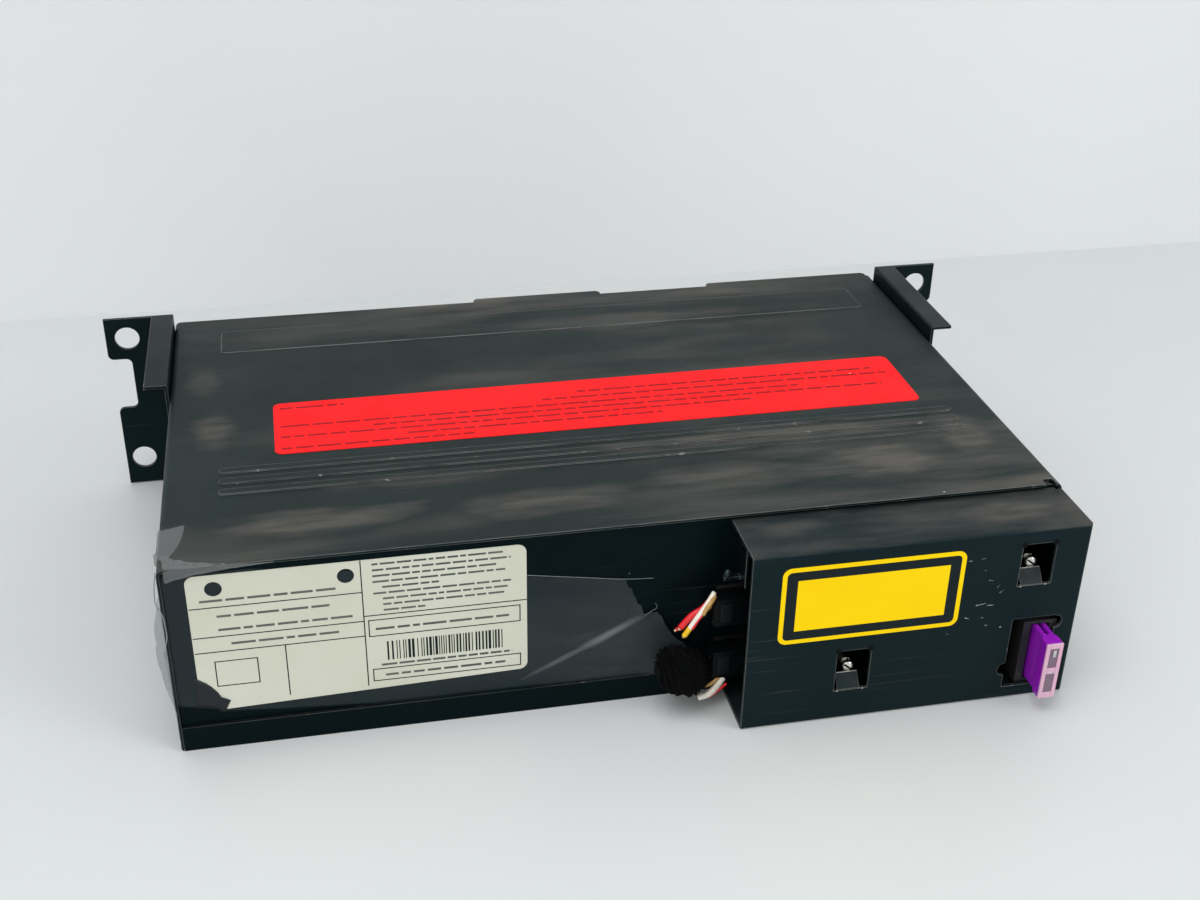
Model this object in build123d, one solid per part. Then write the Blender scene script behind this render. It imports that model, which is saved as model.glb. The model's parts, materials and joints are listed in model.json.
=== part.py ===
from build123d import *
import math
import os

# A car disc changer: a flat painted-steel case that bolts into a boot by two side brackets. A magazine of six
# trays goes in at the front (+Y) and a small playing deck beside it lifts to the tray that is drawn out.
# Millimetres. X runs along the case, +X towards the magazine side; +Y is the front; +Z is up.
# The origin is the middle of the case's underside.

# ---------------------------------------- case
casing_width = 257.0
casing_depth = 158.5
casing_height = 60.6
cover_sheet = 0.8
steel_sheet = 1.0
bend_radius = 2.0
skirt_gap = 0.4          # the cover's skirts stop this far above the underside
fit_gap = 0.3            # between neighbours that do not touch
running_gap = 0.05       # radial, round a shaft that turns or slides
label_film = 0.15
tray_lip = 8.0           # height of the floor pan's upturned edges
wall_flange = 8.0        # the rear wall's fold under the cover
transport_holes = (14.0, 48.9)   # from the case's left side to the rear wall's two small holes
transport_hole_drop = 7.9
transport_hole_radius = 2.1

half_width = casing_width / 2
front = casing_depth / 2
rear = -casing_depth / 2
inner_top = casing_height - cover_sheet
inner_side = half_width - cover_sheet
wall_face = rear + steel_sheet
wall_back = wall_face + steel_sheet

# ---------------------------------------- cover
rib_height = 0.45
rib_width = 2.8
rib_pitch = 6.1
rib_inset = 16.0
rib_count = 3
rib_from_rear = 37.6
panel_height = 0.25
panel_depth = 16.7
panel_from_front = 11.2
tab_reach = 2.8
tab_chamfer = 1.2
middle_tab = 46.7
end_tab = 62.5
relief_width = 3.3
relief_depth = 3.0
relief_inset = 1.9

# ---------------------------------------- rear shield over the plugs and the fuse
shield_width = 100.0
shield_depth = 20.15
shield_drop = 1.9        # the shield's top lies this far under the cover's top
shield_edge = 1.0
window_width = 10.2
window_height = 14.0
window_left_in = 27.2    # from the shield's free left edge to the lower window
window_low = 10.2
window_step_x = 52.2     # from the lower window to the upper one
window_step_z = 29.9
tongue_width = 6.7
tongue_inset = 1.3
tongue_length = 5.0
tongue_lean = 40.0
tongue_sheet = 0.7
tongue_sink = 0.2
post_off_middle = 0.6    # the posts stand this far right of the tongues' middles
post_over_window = 5.4   # and this far over the windows' lower edges
post_collar_length = 2.0
post_groove = 0.4
post_radius = 1.4
post_tip_back = 4.1      # the posts' tips stand this far behind the shield's face
post_collar = 2.4
fuse_window_width = 13.5
fuse_window_height = 24.3
fuse_window_low = 4.2
fuse_window_inset = 6.5  # from the case's right side
fuse_notch = 2.2
upper_notch_drop = 2.4
lower_notch_rise = 6.5

shield_left = half_width - shield_width
shield_top = casing_height - shield_drop
shield_face = rear - shield_depth
shield_back = shield_face + steel_sheet
window_left = shield_left + window_left_in

# ---------------------------------------- brackets
bracket_rise = 4.6       # the brackets' tops stand this far over the cover
bracket_length = 55.5
bracket_lip = 6.3
flange_reach = 23.5
flange_neck = 15.8
flange_setback = 3.0     # the bolt flange stands this far behind the case's front edge
upper_ear = 15.3
lower_ear = 31.0
bolt_radius = 4.1
bolt_outboard = 16.3
bolt_low = 10.7
bolt_pitch = 47.0
ear_corner = 2.0
screw_radius = 1.2
screw_head_radius = 2.6
screw_head_height = 1.3
screw_length = 3.6
screw_level = 5.6
cross_width = 0.6
cross_depth = 0.7
cover_screw_places = (24.0, 79.0)        # from the rear edge
bracket_screw_places = (114.0, 144.0)    # from the rear edge

bracket_top = casing_height + bracket_rise

# ---------------------------------------- labels
red_from_left = 32.2     # places are measured from the case's left side and rear edge
red_from_right = 20.7
red_from_rear = 73.6
red_depth = 32.8
red_corner = 2.5
yellow_width = 53.7
yellow_height = 25.4
yellow_corner = 2.6
yellow_in = 35.6         # from the shield's free left edge to the label's middle
yellow_drop = 17.0       # from the shield's top to the label's middle
rating_from_left = 6.8
rating_length = 91.6
rating_drop = 3.4
rating_height = 42.3
rating_hole_radius = 2.3
rating_corner = 2.5
tear_width = 6.5
tear_height = 8.9
tear_sag = 2.4
tear_steps = (           # shares of the tear's width and height
    (0.74, 0.2),
    (0.6, 0.36),
    (0.34, 0.56),
    (0.2, 0.84))

# ---------------------------------------- discs, trays and magazine
disc_radius = 60.0
disc_bore = 7.5
disc_thickness = 1.2
disc_play = 0.4
tray_count = 6
tray_pitch = 4.6
tray_thickness = 3.2
tray_floor = 1.0
tray_gap = 0.2           # over and under each tray
ledge_width = 1.5
tray_rim = 1.4           # of tray beyond the disc on the closed side
tray_short = 1.2         # the disc stands this far out of the tray's open side
tray_end = 2.0           # of tray beyond the disc to front and rear
tray_slot = 44.0
case_sheet = 1.2
case_rear_wall = 1.6
case_front_wall = 2.8
case_open_gap = 0.2      # from the magazine's open side to the discs
magazine_side_room = 3.3 # from the case's outside to the magazine
magazine_base = 22.0
magazine_setback = 1.95  # from the case's front edge to the magazine's front
grip_width = 48.0
grip_height = 13.0
grip_depth = 1.5

magazine_right = half_width - magazine_side_room
magazine_front = front - magazine_setback
disc_x = magazine_right - case_sheet - tray_gap - tray_rim - disc_radius
disc_y = magazine_front - case_front_wall - fit_gap - tray_end - disc_radius
magazine_left = disc_x - disc_radius - case_open_gap
tray_half_depth = disc_radius + tray_end
magazine_rear = disc_y - tray_half_depth - fit_gap - case_rear_wall
ledge_thickness = tray_pitch - tray_thickness - 2 * tray_gap
first_tray = magazine_base + case_sheet + tray_gap
last_tray = first_tray + (tray_count - 1) * tray_pitch
magazine_top = last_tray + tray_thickness + tray_gap + case_sheet

# ---------------------------------------- front bezel, door and eject button
bezel_sheet = 2.4
bezel_reach = 2.95       # the bezel's face stands this far in front of the case's edge
bezel_drop = 2.2         # and its top this far under the cover's
door_sheet = 1.5
door_gap = 0.4
door_overlap = 1.7
door_wall_gap = 0.8
door_side_gap = 1.1      # from the open door to the magazine
mouth_gap = 0.8
mouth_left_room = 3.8
rail_height = 1.9
door_lip = 1.5
door_lip_inset = 0.5
door_lip_reach = 3.2
button_width = 15.4
button_height = 5.4
button_proud = 2.0
button_flange = 1.3
button_flange_depth = 1.8
button_edge = 0.7
bezel_edge = 0.8
bezel_foot_depth = 6.0
bezel_foot_height = 2.0
button_from_left = 16.5
spring_radius = 2.2
spring_wire = 0.4
spring_turns = 6
spring_seat = 8.25       # from the case's front edge to the spring's seat

bezel_face = front + bezel_reach
bezel_back = bezel_face - bezel_sheet
bezel_top = casing_height - bezel_drop
door_front = bezel_back - door_gap
door_back = door_front - door_sheet
mouth_right = magazine_right + mouth_gap
mouth_left = magazine_left - mouth_left_room
mouth_low = magazine_base - mouth_gap
mouth_high = magazine_top + mouth_gap
door_low = mouth_low - door_overlap
door_high = mouth_high + door_overlap
door_left = -inner_side + door_wall_gap
door_right = magazine_left - door_side_gap
button_x = -half_width + button_from_left
seat_y = front - spring_seat

# ---------------------------------------- floating frame and what it stands on
frame_level = 18.0
frame_sheet = 1.2
frame_thin = 1.0
frame_side_gap = 1.1     # from the cover's inside to the frame
frame_wall_top = 57.0
frame_foot = 10.4        # the walls round the deck reach down to here
frame_rear_room = 9.75   # from the case's rear edge to the frame
deck_room_rear = 19.25   # from the case's rear edge to the frame's wall behind the deck
cam_clearance = 0.3
slide_depth = 8.0
slide_rear_in = 24.5     # from the magazine's rear wall, in front of the eject lever's swing
slide_front_in = 16.0    # from the magazine's front
slide_side_in = 4.0
damper_radius = 5.5
damper_waist = 4.0
damper_side_in = 13.5
damper_rear_in = 15.25
damper_front_in = 19.25
damper_wire = 0.8
damper_turns = 5
damper_end = 1.2         # thickness of a damper's two end plates
coil_seat = 1.8          # from the floor or the frame to a coil's end
ear_sheet = 1.6
gusset_reach = 8.5
gusset_depth = 8.0
lever_side_in = 16.5
lever_rear_in = 16.25
lever_length = 50.0
lever_sheet = 2.5
lever_post_radius = 3.0
lever_post_height = 9.0
lever_boss_radius = 5.0
lever_roller_radius = 3.2
lever_roller_gap = 1.0   # from the roller to the magazine's rear wall
lever_roller_rise = 9.0  # of the roller over the magazine's underside
eject_wire = 0.8
eject_turns = 4
eject_height = 4.8

frame_left = -inner_side + frame_side_gap
frame_right = inner_side - frame_side_gap + running_gap * 4
frame_top_face = frame_level + frame_sheet
frame_rear = rear + frame_rear_room
deck_wall_back = rear + deck_room_rear
deck_wall_front = deck_wall_back + frame_thin
frame_front_wall = magazine_front - running_gap * 2
frame_front_back = frame_front_wall - frame_thin

# ---------------------------------------- playing deck
tray_travel = 118.0
deck_sheet = 1.2
platter_top = 21.0
platter_height = 3.0
platter_radius = 16.0
platter_rim = 2.0
hub_height = 3.0         # the platter's hub stands this high over the deck
hub_radius = 4.0
cone_edge = 1.2
spindle_tip = 1.8        # the centring cone over the platter
cone_radius = 7.2
motor_radius = 12.0
motor_height = 8.0
shaft_radius = 1.0
sled_travel = 32.5
lens_start = 24.5        # the lens's first radius from the spindle
lens_radius = 2.2
sled_width = 30.0
sled_front = 7.0
sled_rear = 4.0
sled_low = 7.6
sled_high = 17.0
rod_radius = 1.5
rod_spread = 11.5
rod_level = 10.6
screw_offset = 20.0
screw_lead_radius = 1.3
screw_neck = 0.9
deck_overhang_left = 6.0
deck_overhang_right = 27.0
deck_edge_gap = 0.5
pin_radius = 1.5
pin_gap = 0.2
cam_wall_gap = 1.5
cam_magazine_gap = 4.1
cam_margin = 5.0
cam_sheet = 1.0
cam_edge = 4.0           # of cam plate over and under the slots' ends
puller_length = 5.0
puller_rail = 1.0
rail_rise = 4.0
puller_gap = 0.2
clamp_radius = 15.0
clamp_hole = 8.5
clamp_height = 3.4
clamp_gap = 1.6          # from the top tray to the parked clamp puck
clamp_sheet = 1.2
clamp_half_width = 12.0
clamp_pivot_in = 9.5     # from the case's left side
clamp_hub_radius = 2.2
clamp_slot_half = 5.0
pivot_radius = 1.5
hanger_half = 2.6
hanger_thickness = 1.8
screw_hanger_half = 2.4
nut_length = 10.0
lift_screw_radius = 1.6
lift_motor_radius = 5.6
sled_motor_radius = 4.4
lift_motor_length = 22.0
lift_screw_level = 7.2
lift_screw_in = 6.0      # from the deck's front edge to the lift screw's axis
motor_collar_radius = 2.4
motor_collar = 1.5
motor_bore_radius = 1.2
journal_radius = 1.15
sled_motor_length = 9.0
sled_motor_half = 3.1
screw_groove = 0.25
screw_pitch = 1.6

play_x = disc_x - tray_travel
play_y = disc_y
deck_travel = last_tray + tray_floor - fit_gap - platter_top
deck_top = platter_top - platter_height - hub_height
deck_low = deck_top - deck_sheet
deck_rear = deck_wall_front + deck_edge_gap + pin_gap
cam_front = frame_front_back - cam_clearance
cam_back = cam_front - cam_sheet
deck_front = cam_back - deck_edge_gap
pin_level = (deck_top + deck_low) / 2
button_level = pin_level - cam_edge - fit_gap - button_flange - button_height / 2
pin_left = frame_left + frame_thin + cam_wall_gap + deck_travel + cam_margin
pin_right = magazine_left - cam_magazine_gap - deck_travel - cam_margin
deck_left = pin_left - deck_overhang_left
deck_right = pin_right + deck_overhang_right
pivot_x = -half_width + clamp_pivot_in
clamp_level = last_tray + tray_thickness + clamp_gap
clamp_plate = clamp_level + clamp_height
pivot_level = clamp_plate + clamp_sheet / 2
lens_y = play_y - lens_start

# ---------------------------------------- boards, plugs and fuse
board_thickness = 1.6
board_level = 5.0
board_from_magazine = 5.8  # from the magazine's open side to the board
board_right_in = 10.5
board_rear_in = 29.0
board_front_in = 25.5
boss_radius = 3.0
chip_height = 2.2
chips_at = (             # from the board's left rear corner: x, y, width, depth
    (27.0, 30.0, 20.0, 20.0),
    (62.0, 60.0, 14.0, 20.0),
    (87.0, 20.0, 12.0, 8.0),
    (32.0, 75.0, 9.0, 14.0))
cans_at = (              # from the same corner: x, y, radius, height
    (52.0, 12.0, 4.0, 9.0),
    (62.0, 12.0, 4.0, 9.0),
    (96.0, 70.0, 5.0, 9.5),
    (96.0, 84.0, 3.0, 7.0))
plug_left_out = 6.3      # the plugs stand this far out of the shield's open side
plug_length = 28.0
plug_height = 9.0
plug_depth = 6.0
socket_proud = 2.75
socket_inset_left = 3.0
socket_edge = 1.0
plug_chamfer = 0.8
plug_board_gap = 2.6     # from the rear wall to the connector board
plug_board_top = 48.0
cable_width = 20.0
cable_thickness = 0.4
cable_rise = 3.0
lower_plug_level = 10.0
upper_plug_level = 28.3
wire_radius = 0.65
wire_bend = 1.6
wrap_radius = 6.0
wrap_chamfer = 1.2
wrap_wall_gap = 2.4
fuse_height = 19.1
fuse_thickness = 5.1
fuse_neck = 3.7
fuse_body = 12.0
fuse_head = 3.8
fuse_flare = 1.5
fuse_proud = 8.85        # the fuse's end stands this far out of the shield
fuse_low = 5.6
fuse_inboard = 10.2      # from the case's right side to the fuse's middle
blade_width = 5.2
blade_thickness = 0.65
blade_length = 9.0
blade_spread = 12.6
blade_gap = 0.15
holder_wall = 2.6

fuse_x = half_width - fuse_inboard
fuse_z = fuse_low + fuse_height / 2
fuse_end = shield_face - fuse_proud
fuse_root = fuse_end + fuse_body
plug_left = shield_left - plug_left_out


# ---------------------------------------- shapes that repeat
def block(x0, x1, y0, y1, z0, z1):
    """A box between two opposite corners."""
    middle = Pos((x0 + x1) / 2, (y0 + y1) / 2, (z0 + z1) / 2)
    return middle * Box(x1 - x0, y1 - y0, z1 - z0)


def bar(radius, start, end):
    """A round bar from one point to another."""
    run = Vector(*end) - Vector(*start)
    lift = (Align.CENTER, Align.CENTER, Align.MIN)
    return Plane(origin=start, z_dir=run).location * Cylinder(radius, run.length, align=lift)


def ring(outer, inner, centre, height):
    """A flat ring that stands on its centre point."""
    x, y, z = centre
    return bar(outer, centre, (x, y, z + height)) - bar(inner, (x, y, z - 1), (x, y, z + height + 1))


def grooved_bar(radius, start, end, first, last):
    """A bar with turned grooves between two distances from its start."""
    shape = bar(radius, start, end)
    run = (Vector(*end) - Vector(*start)).normalized()
    count = int((last - first) / screw_pitch)
    for index in range(count):
        here = Vector(*start) + run * (first + index * screw_pitch)
        there = here + run * (screw_pitch / 2)
        cut = bar(radius + 1, tuple(here), tuple(there))
        cut = cut - bar(radius - screw_groove, tuple(here - run), tuple(there + run))
        shape = shape - cut
    return shape


def coil(radius, wire, turns, height, place):
    """A coil spring along Z from its own origin, put in place."""
    path = Helix(pitch=height / turns, height=height, radius=radius)
    section = Plane(origin=path @ 0, z_dir=path % 0) * Circle(wire / 2)
    return place * sweep(section, path=path)


def pan_screw(x, y, z, outward):
    """A cross-head screw through a side wall; outward is +1 or -1 along X."""
    face = x + outward * screw_head_height
    head = bar(screw_head_radius, (x, y, z), (face, y, z))
    tip = bar(screw_radius, (x, y, z), (x - outward * screw_length, y, z))
    low, high = sorted((face - outward * cross_depth, face + outward))
    arm = screw_head_radius * 0.6
    half = cross_width / 2
    cross = block(low, high, y - arm, y + arm, z - half, z + half)
    cross = cross + block(low, high, y - half, y + half, z - arm, z + arm)
    return head + tip - cross


def group(pieces):
    """Separate solids under one name."""
    return Compound(children=[solid for piece in pieces for solid in piece.solids()])


def save(name, shape):
    export_step(shape, os.path.join("parts", name + ".step"))


os.makedirs("parts", exist_ok=True)

# ---------------------------------------- top cover: roof and two skirts, one bent sheet
shell = block(-half_width, half_width, rear, front, skirt_gap, casing_height)
shell = fillet(shell.edges().filter_by(Axis.Y).group_by(Axis.Z)[-1], bend_radius)
hollow = block(-inner_side, inner_side, rear - 1, front + 1, skirt_gap - 1, inner_top)
hollow = fillet(hollow.edges().filter_by(Axis.Y).group_by(Axis.Z)[-1], bend_radius - cover_sheet)
top_cover = shell - hollow
end_tab_right = half_width - bend_radius
for tab_left, tab_right in ((-middle_tab / 2, middle_tab / 2), (end_tab_right - end_tab, end_tab_right)):
    tab = block(tab_left, tab_right, front - 1, front + tab_reach, inner_top, casing_height)
    tab_corners = tab.edges().filter_by(Axis.Z).group_by(Axis.Y)[-1]
    top_cover = top_cover + chamfer(tab_corners, tab_chamfer)
rib_length = casing_width - 2 * rib_inset + 2
for index in range(rib_count):
    rib_y = rear + rib_from_rear + index * rib_pitch
    rib = extrude(SlotOverall(rib_length, rib_width), rib_height + cover_sheet / 2)
    top_cover = top_cover + Pos(1, rib_y, casing_height - cover_sheet / 2) * rib
panel_y = front - panel_from_front - panel_depth / 2
panel = extrude(RectangleRounded(rib_length, panel_depth, rib_width / 2), panel_height + cover_sheet / 2)
top_cover = top_cover + Pos(1, panel_y, casing_height - cover_sheet / 2) * panel
relief_right = half_width - relief_inset
top_cover = top_cover - block(relief_right - relief_width, relief_right, rear - 1, rear + relief_depth,
                              inner_top - 1, casing_height + 1)
screw_places = [rear + place for place in cover_screw_places + bracket_screw_places]
for place in screw_places:
    top_cover = top_cover - bar(screw_radius + running_gap, (-half_width - 1, place, screw_level),
                                (half_width + 1, place, screw_level))
save("top_cover", top_cover)

# ---------------------------------------- floor pan with upturned edges
pan_side = inner_side - running_gap
pan = block(-pan_side, pan_side, rear, front, 0, steel_sheet)
pan = pan + block(-pan_side, pan_side, rear, wall_face, 0, tray_lip)
for side in (-1, 1):
    x_in, x_out = sorted((side * (pan_side - steel_sheet), side * pan_side))
    pan = pan + block(x_in, x_out, wall_back + fit_gap, front, 0, tray_lip)
seat_half = button_width / 2 - 1
pan = pan + block(button_x - seat_half, button_x + seat_half, seat_y - steel_sheet, seat_y, 0,
                  button_level + spring_radius * 2)
for place in screw_places:
    pan = pan - bar(screw_radius + running_gap, (-half_width, place, screw_level),
                    (half_width, place, screw_level))
board_left = magazine_left + board_from_magazine
board_right = half_width - board_right_in
board_rear = rear + board_rear_in
board_front = front - board_front_in
boss_places = [(x, y) for x in (board_left + 6, board_right - 6) for y in (board_rear + 6, board_front - 6)]
for x, y in boss_places:
    pan = pan + bar(boss_radius, (x, y, 0), (x, y, board_level))
save("floor_pan", pan)

# ---------------------------------------- rear wall
wall_side = inner_side - fit_gap
rear_wall = block(-wall_side, wall_side, wall_face, wall_back, steel_sheet, inner_top)
rear_wall = rear_wall + block(-wall_side + bend_radius, wall_side - bend_radius, wall_face,
                              wall_face + wall_flange, inner_top - steel_sheet, inner_top)
wall_corners = rear_wall.edges().filter_by(Axis.Y).filter_by_position(Axis.Z, inner_top - 0.1, inner_top + 0.1)
wall_corners = wall_corners.group_by(Axis.X)[0] + wall_corners.group_by(Axis.X)[-1]
rear_wall = fillet(wall_corners, bend_radius)
hole_level = casing_height - transport_hole_drop
for hole_in in transport_holes:
    hole_x = -half_width + hole_in
    rear_wall = rear_wall - bar(transport_hole_radius, (hole_x, wall_face - 1, hole_level),
                                (hole_x, wall_back + 1, hole_level))
socket_left = plug_left + socket_inset_left
socket_right = plug_left + plug_length - socket_edge
for level in (lower_plug_level, upper_plug_level):
    rear_wall = rear_wall - block(socket_left - fit_gap, socket_right + fit_gap, wall_face - 1, wall_back + 1,
                                  level + socket_edge - fit_gap, level + plug_height - socket_edge + fit_gap)
save("rear_wall", rear_wall)

# ---------------------------------------- rear shield: snaps over the plugs and the fuse
shield = block(shield_left, half_width, shield_face, rear - fit_gap / 2, 0, shield_top)
rim = shield.edges().filter_by(Axis.X).group_by(Axis.Y)[0]
rim = rim + shield.edges().filter_by(Axis.Z).group_by(Axis.Y)[0].sort_by(Axis.X)[-1:]
shield = fillet(rim, shield_edge)
shield = shield - block(shield_left - 1, half_width - steel_sheet, shield_back, rear + 1, steel_sheet,
                        shield_top - steel_sheet)
shield = shield + block(shield_left, half_width - steel_sheet - 1, rear - 1, wall_face,
                        shield_top - steel_sheet, shield_top)
post_places = []
for step in (0, 1):
    left = window_left + step * window_step_x
    low = window_low + step * window_step_z
    shield = shield - block(left, left + window_width, shield_face - 1, shield_back + 1,
                            low, low + window_height)
    tongue_left = left + tongue_inset
    tongue = block(0, tongue_width, 0, tongue_sheet, 0, tongue_length)
    tongue_place = Pos(tongue_left, shield_face + tongue_sink, low - tongue_sink)
    shield = shield + tongue_place * Rot(-tongue_lean, 0, 0) * tongue
    post_places.append((tongue_left + tongue_width / 2 + post_off_middle, low + post_over_window))
window_right = half_width - fuse_window_inset
shield = shield - block(window_right - fuse_window_width, window_right, shield_face - 1, shield_back + 1,
                        fuse_window_low, fuse_window_low + fuse_window_height)
for notch_x, notch_z in ((window_right, fuse_window_low + fuse_window_height - upper_notch_drop),
                         (window_right - fuse_window_width, fuse_window_low + lower_notch_rise)):
    shield = shield - bar(fuse_notch, (notch_x, shield_face - 1, notch_z), (notch_x, shield_back + 1, notch_z))
save("rear_shield", shield)

posts = []
post_tip = shield_face + post_tip_back
for post_x, post_z in post_places:
    post = bar(post_radius, (post_x, wall_face, post_z), (post_x, post_tip, post_z))
    post = post + bar(post_collar, (post_x, wall_face, post_z),
                      (post_x, wall_face - post_collar_length, post_z))
    waist = bar(post_radius + 1, (post_x, post_tip + 1.2, post_z), (post_x, post_tip + 2.2, post_z))
    waist = waist - bar(post_radius - post_groove, (post_x, post_tip, post_z), (post_x, post_tip + 4, post_z))
    posts.append(post - waist)
save("latch_posts", group(posts))

# ---------------------------------------- side brackets, one the mirror of the other
flange_back = front - flange_setback - steel_sheet
flange_front = front - flange_setback
bracket_start = flange_front - bracket_length
plate_out = -half_width - steel_sheet
bracket = block(plate_out, -half_width, bracket_start, flange_front, skirt_gap, bracket_top)
lip = block(plate_out - bracket_lip, plate_out + steel_sheet, bracket_start, flange_front,
            bracket_top - steel_sheet, bracket_top)
bracket = bracket + lip
inner_corner = bracket.edges().filter_by(Axis.Y)
inner_corner = inner_corner.filter_by_position(Axis.X, -half_width - 0.01, -half_width + 0.01)
bracket = fillet(inner_corner.group_by(Axis.Z)[-1], steel_sheet * 0.9)
outer_x = -half_width - flange_reach
neck_x = -half_width - flange_neck
flange_outline = Polyline((-half_width, skirt_gap), (outer_x + 1, skirt_gap), (outer_x + 1, lower_ear),
                          (neck_x, lower_ear), (neck_x, bracket_top - upper_ear),
                          (outer_x, bracket_top - upper_ear), (outer_x, bracket_top),
                          (-half_width, bracket_top), close=True)
flange_face = make_face(Plane.XZ * flange_outline)
flange = Pos(0, flange_front, 0) * extrude(flange_face, steel_sheet, dir=(0, -1, 0))
inside = flange.edges().filter_by(Axis.Y).filter_by_position(Axis.X, outer_x - 0.1, neck_x + 0.1)
flange = fillet(inside.filter_by_position(Axis.Z, 1, bracket_top - 1), ear_corner)
bracket = bracket + flange
bolt_x = -half_width - bolt_outboard
for level in (bolt_low, bolt_low + bolt_pitch):
    bracket = bracket - bar(bolt_radius, (bolt_x, flange_back - 1, level), (bolt_x, flange_front + 1, level))
for place in bracket_screw_places:
    bracket = bracket - bar(screw_radius + running_gap, (plate_out - 1, rear + place, screw_level),
                            (-half_width + 1, rear + place, screw_level))
save("bracket_left", bracket)
save("bracket_right", mirror(bracket, about=Plane.YZ))

bracket_screws = []
cover_screws = []
for side in (-1, 1):
    for place in bracket_screw_places:
        bracket_screws.append(pan_screw(side * (half_width + steel_sheet), rear + place, screw_level, side))
    for place in cover_screw_places:
        cover_screws.append(pan_screw(side * half_width, rear + place, screw_level, side))
save("bracket_screws", group(bracket_screws))
save("cover_screws", group(cover_screws))

# ---------------------------------------- labels: thin stuck films
red_left = -half_width + red_from_left
red_right = half_width - red_from_right
red_label = extrude(RectangleRounded(red_right - red_left, red_depth, red_corner), label_film)
save("red_label", Pos((red_left + red_right) / 2, rear + red_from_rear, casing_height) * red_label)

yellow_label = extrude(RectangleRounded(yellow_width, yellow_height, yellow_corner), label_film)
yellow_place = Pos(shield_left + yellow_in, shield_face, shield_top - yellow_drop) * Rot(90, 0, 0)
save("yellow_label", yellow_place * yellow_label)

label_left = -half_width + rating_from_left
label_right = label_left + rating_length
label_top = casing_height - rating_drop
label_low = label_top - rating_height
tear_points = [(label_left + tear_width * across, label_low + tear_height * up) for across, up in tear_steps]
torn = Polyline((label_left, label_top), (label_right, label_top), (label_right, label_low),
                (label_left + tear_width, label_low - tear_sag), *tear_points,
                (label_left, label_low + tear_height), close=True)
label_face = make_face(Plane.XZ * torn)
whole_corners = label_face.vertices().group_by(Axis.Z)[-1] + label_face.vertices().group_by(Axis.X)[-1]
label_face = fillet(list(set(whole_corners)), rating_corner)
rating_label = Pos(0, wall_face, 0) * extrude(label_face, label_film, dir=(0, -1, 0))
for hole_in in transport_holes:
    hole_x = -half_width + hole_in
    rating_label = rating_label - bar(rating_hole_radius, (hole_x, wall_face - 1, hole_level),
                                      (hole_x, wall_face + 1, hole_level))
save("rating_label", rating_label)

# ---------------------------------------- front bezel with the magazine's mouth
bezel_side = half_width - fit_gap
bezel = block(-bezel_side, bezel_side, bezel_back, bezel_face, skirt_gap, bezel_top)
bezel = fillet(bezel.edges().group_by(Axis.Y)[-1], bezel_edge)
rail_side = inner_side - fit_gap
rail_back = door_back - fit_gap
for low in (door_low - fit_gap - rail_height, door_high + fit_gap):
    bezel = bezel + block(-rail_side, rail_side, rail_back, bezel_back + bezel_sheet / 2,
                          low, low + rail_height)
bezel = bezel - block(mouth_left, mouth_right, bezel_back - 1, bezel_face + 1, mouth_low, mouth_high)
hole_half_x = button_width / 2 + fit_gap
hole_half_z = button_height / 2 + fit_gap
bezel = bezel - block(button_x - hole_half_x, button_x + hole_half_x, bezel_back - 1, bezel_face + 1,
                      button_level - hole_half_z, button_level + hole_half_z)
foot_left = button_x + button_width
foot_right = pan_side - steel_sheet - fit_gap
bezel = bezel + block(foot_left, foot_right, front - bezel_foot_depth, bezel_back + bezel_sheet / 2,
                      steel_sheet, steel_sheet + bezel_foot_height)
save("front_bezel", bezel)

door = block(door_left, door_right, door_back, door_front, door_low, door_high)
lip_right = door_right - door_lip_inset
door = door + block(lip_right - door_lip, lip_right, door_front - 0.1, door_front + door_lip_reach,
                    mouth_low + 1, mouth_high - 1)
save("magazine_door", door)

button_back = bezel_back - fit_gap
button = block(button_x - button_width / 2, button_x + button_width / 2, button_back - button_flange_depth,
               bezel_face + button_proud, button_level - button_height / 2, button_level + button_height / 2)
button = fillet(button.edges().group_by(Axis.Y)[-1], button_edge)
flange_half_x = button_width / 2 + button_flange
flange_half_z = button_height / 2 + button_flange
button = button + block(button_x - flange_half_x, button_x + flange_half_x, button_back - button_flange_depth,
                        button_back, button_level - flange_half_z, button_level + flange_half_z)
save("eject_button", button)

spring_length = button_back - button_flange_depth - seat_y - spring_wire
spring_place = Pos(button_x, seat_y + spring_wire / 2, button_level) * Rot(-90, 0, 0)
save("button_spring", coil(spring_radius, spring_wire, spring_turns, spring_length, spring_place))

# ---------------------------------------- magazine with its six trays and discs
case = block(magazine_left, magazine_right, magazine_rear, magazine_front, magazine_base, magazine_top)
cavity_front = magazine_front - case_front_wall
cavity_rear = magazine_rear + case_rear_wall
cavity_right = magazine_right - case_sheet
case = case - block(magazine_left - 1, cavity_right, cavity_rear, cavity_front, magazine_base + case_sheet,
                    magazine_top - case_sheet)
for index in range(1, tray_count):
    ledge_low = first_tray + index * tray_pitch - tray_gap - ledge_thickness
    for wall in (cavity_rear, cavity_front - ledge_width):
        case = case + block(magazine_left, cavity_right + 0.1, wall, wall + ledge_width, ledge_low,
                            ledge_low + ledge_thickness)
grip_x = (magazine_left + magazine_right) / 2
grip_z = (magazine_base + magazine_top) / 2
case = case - block(grip_x - grip_width / 2, grip_x + grip_width / 2, magazine_front - grip_depth,
                    magazine_front + 1, grip_z - grip_height / 2, grip_z + grip_height / 2)
save("magazine_case", case)

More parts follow.
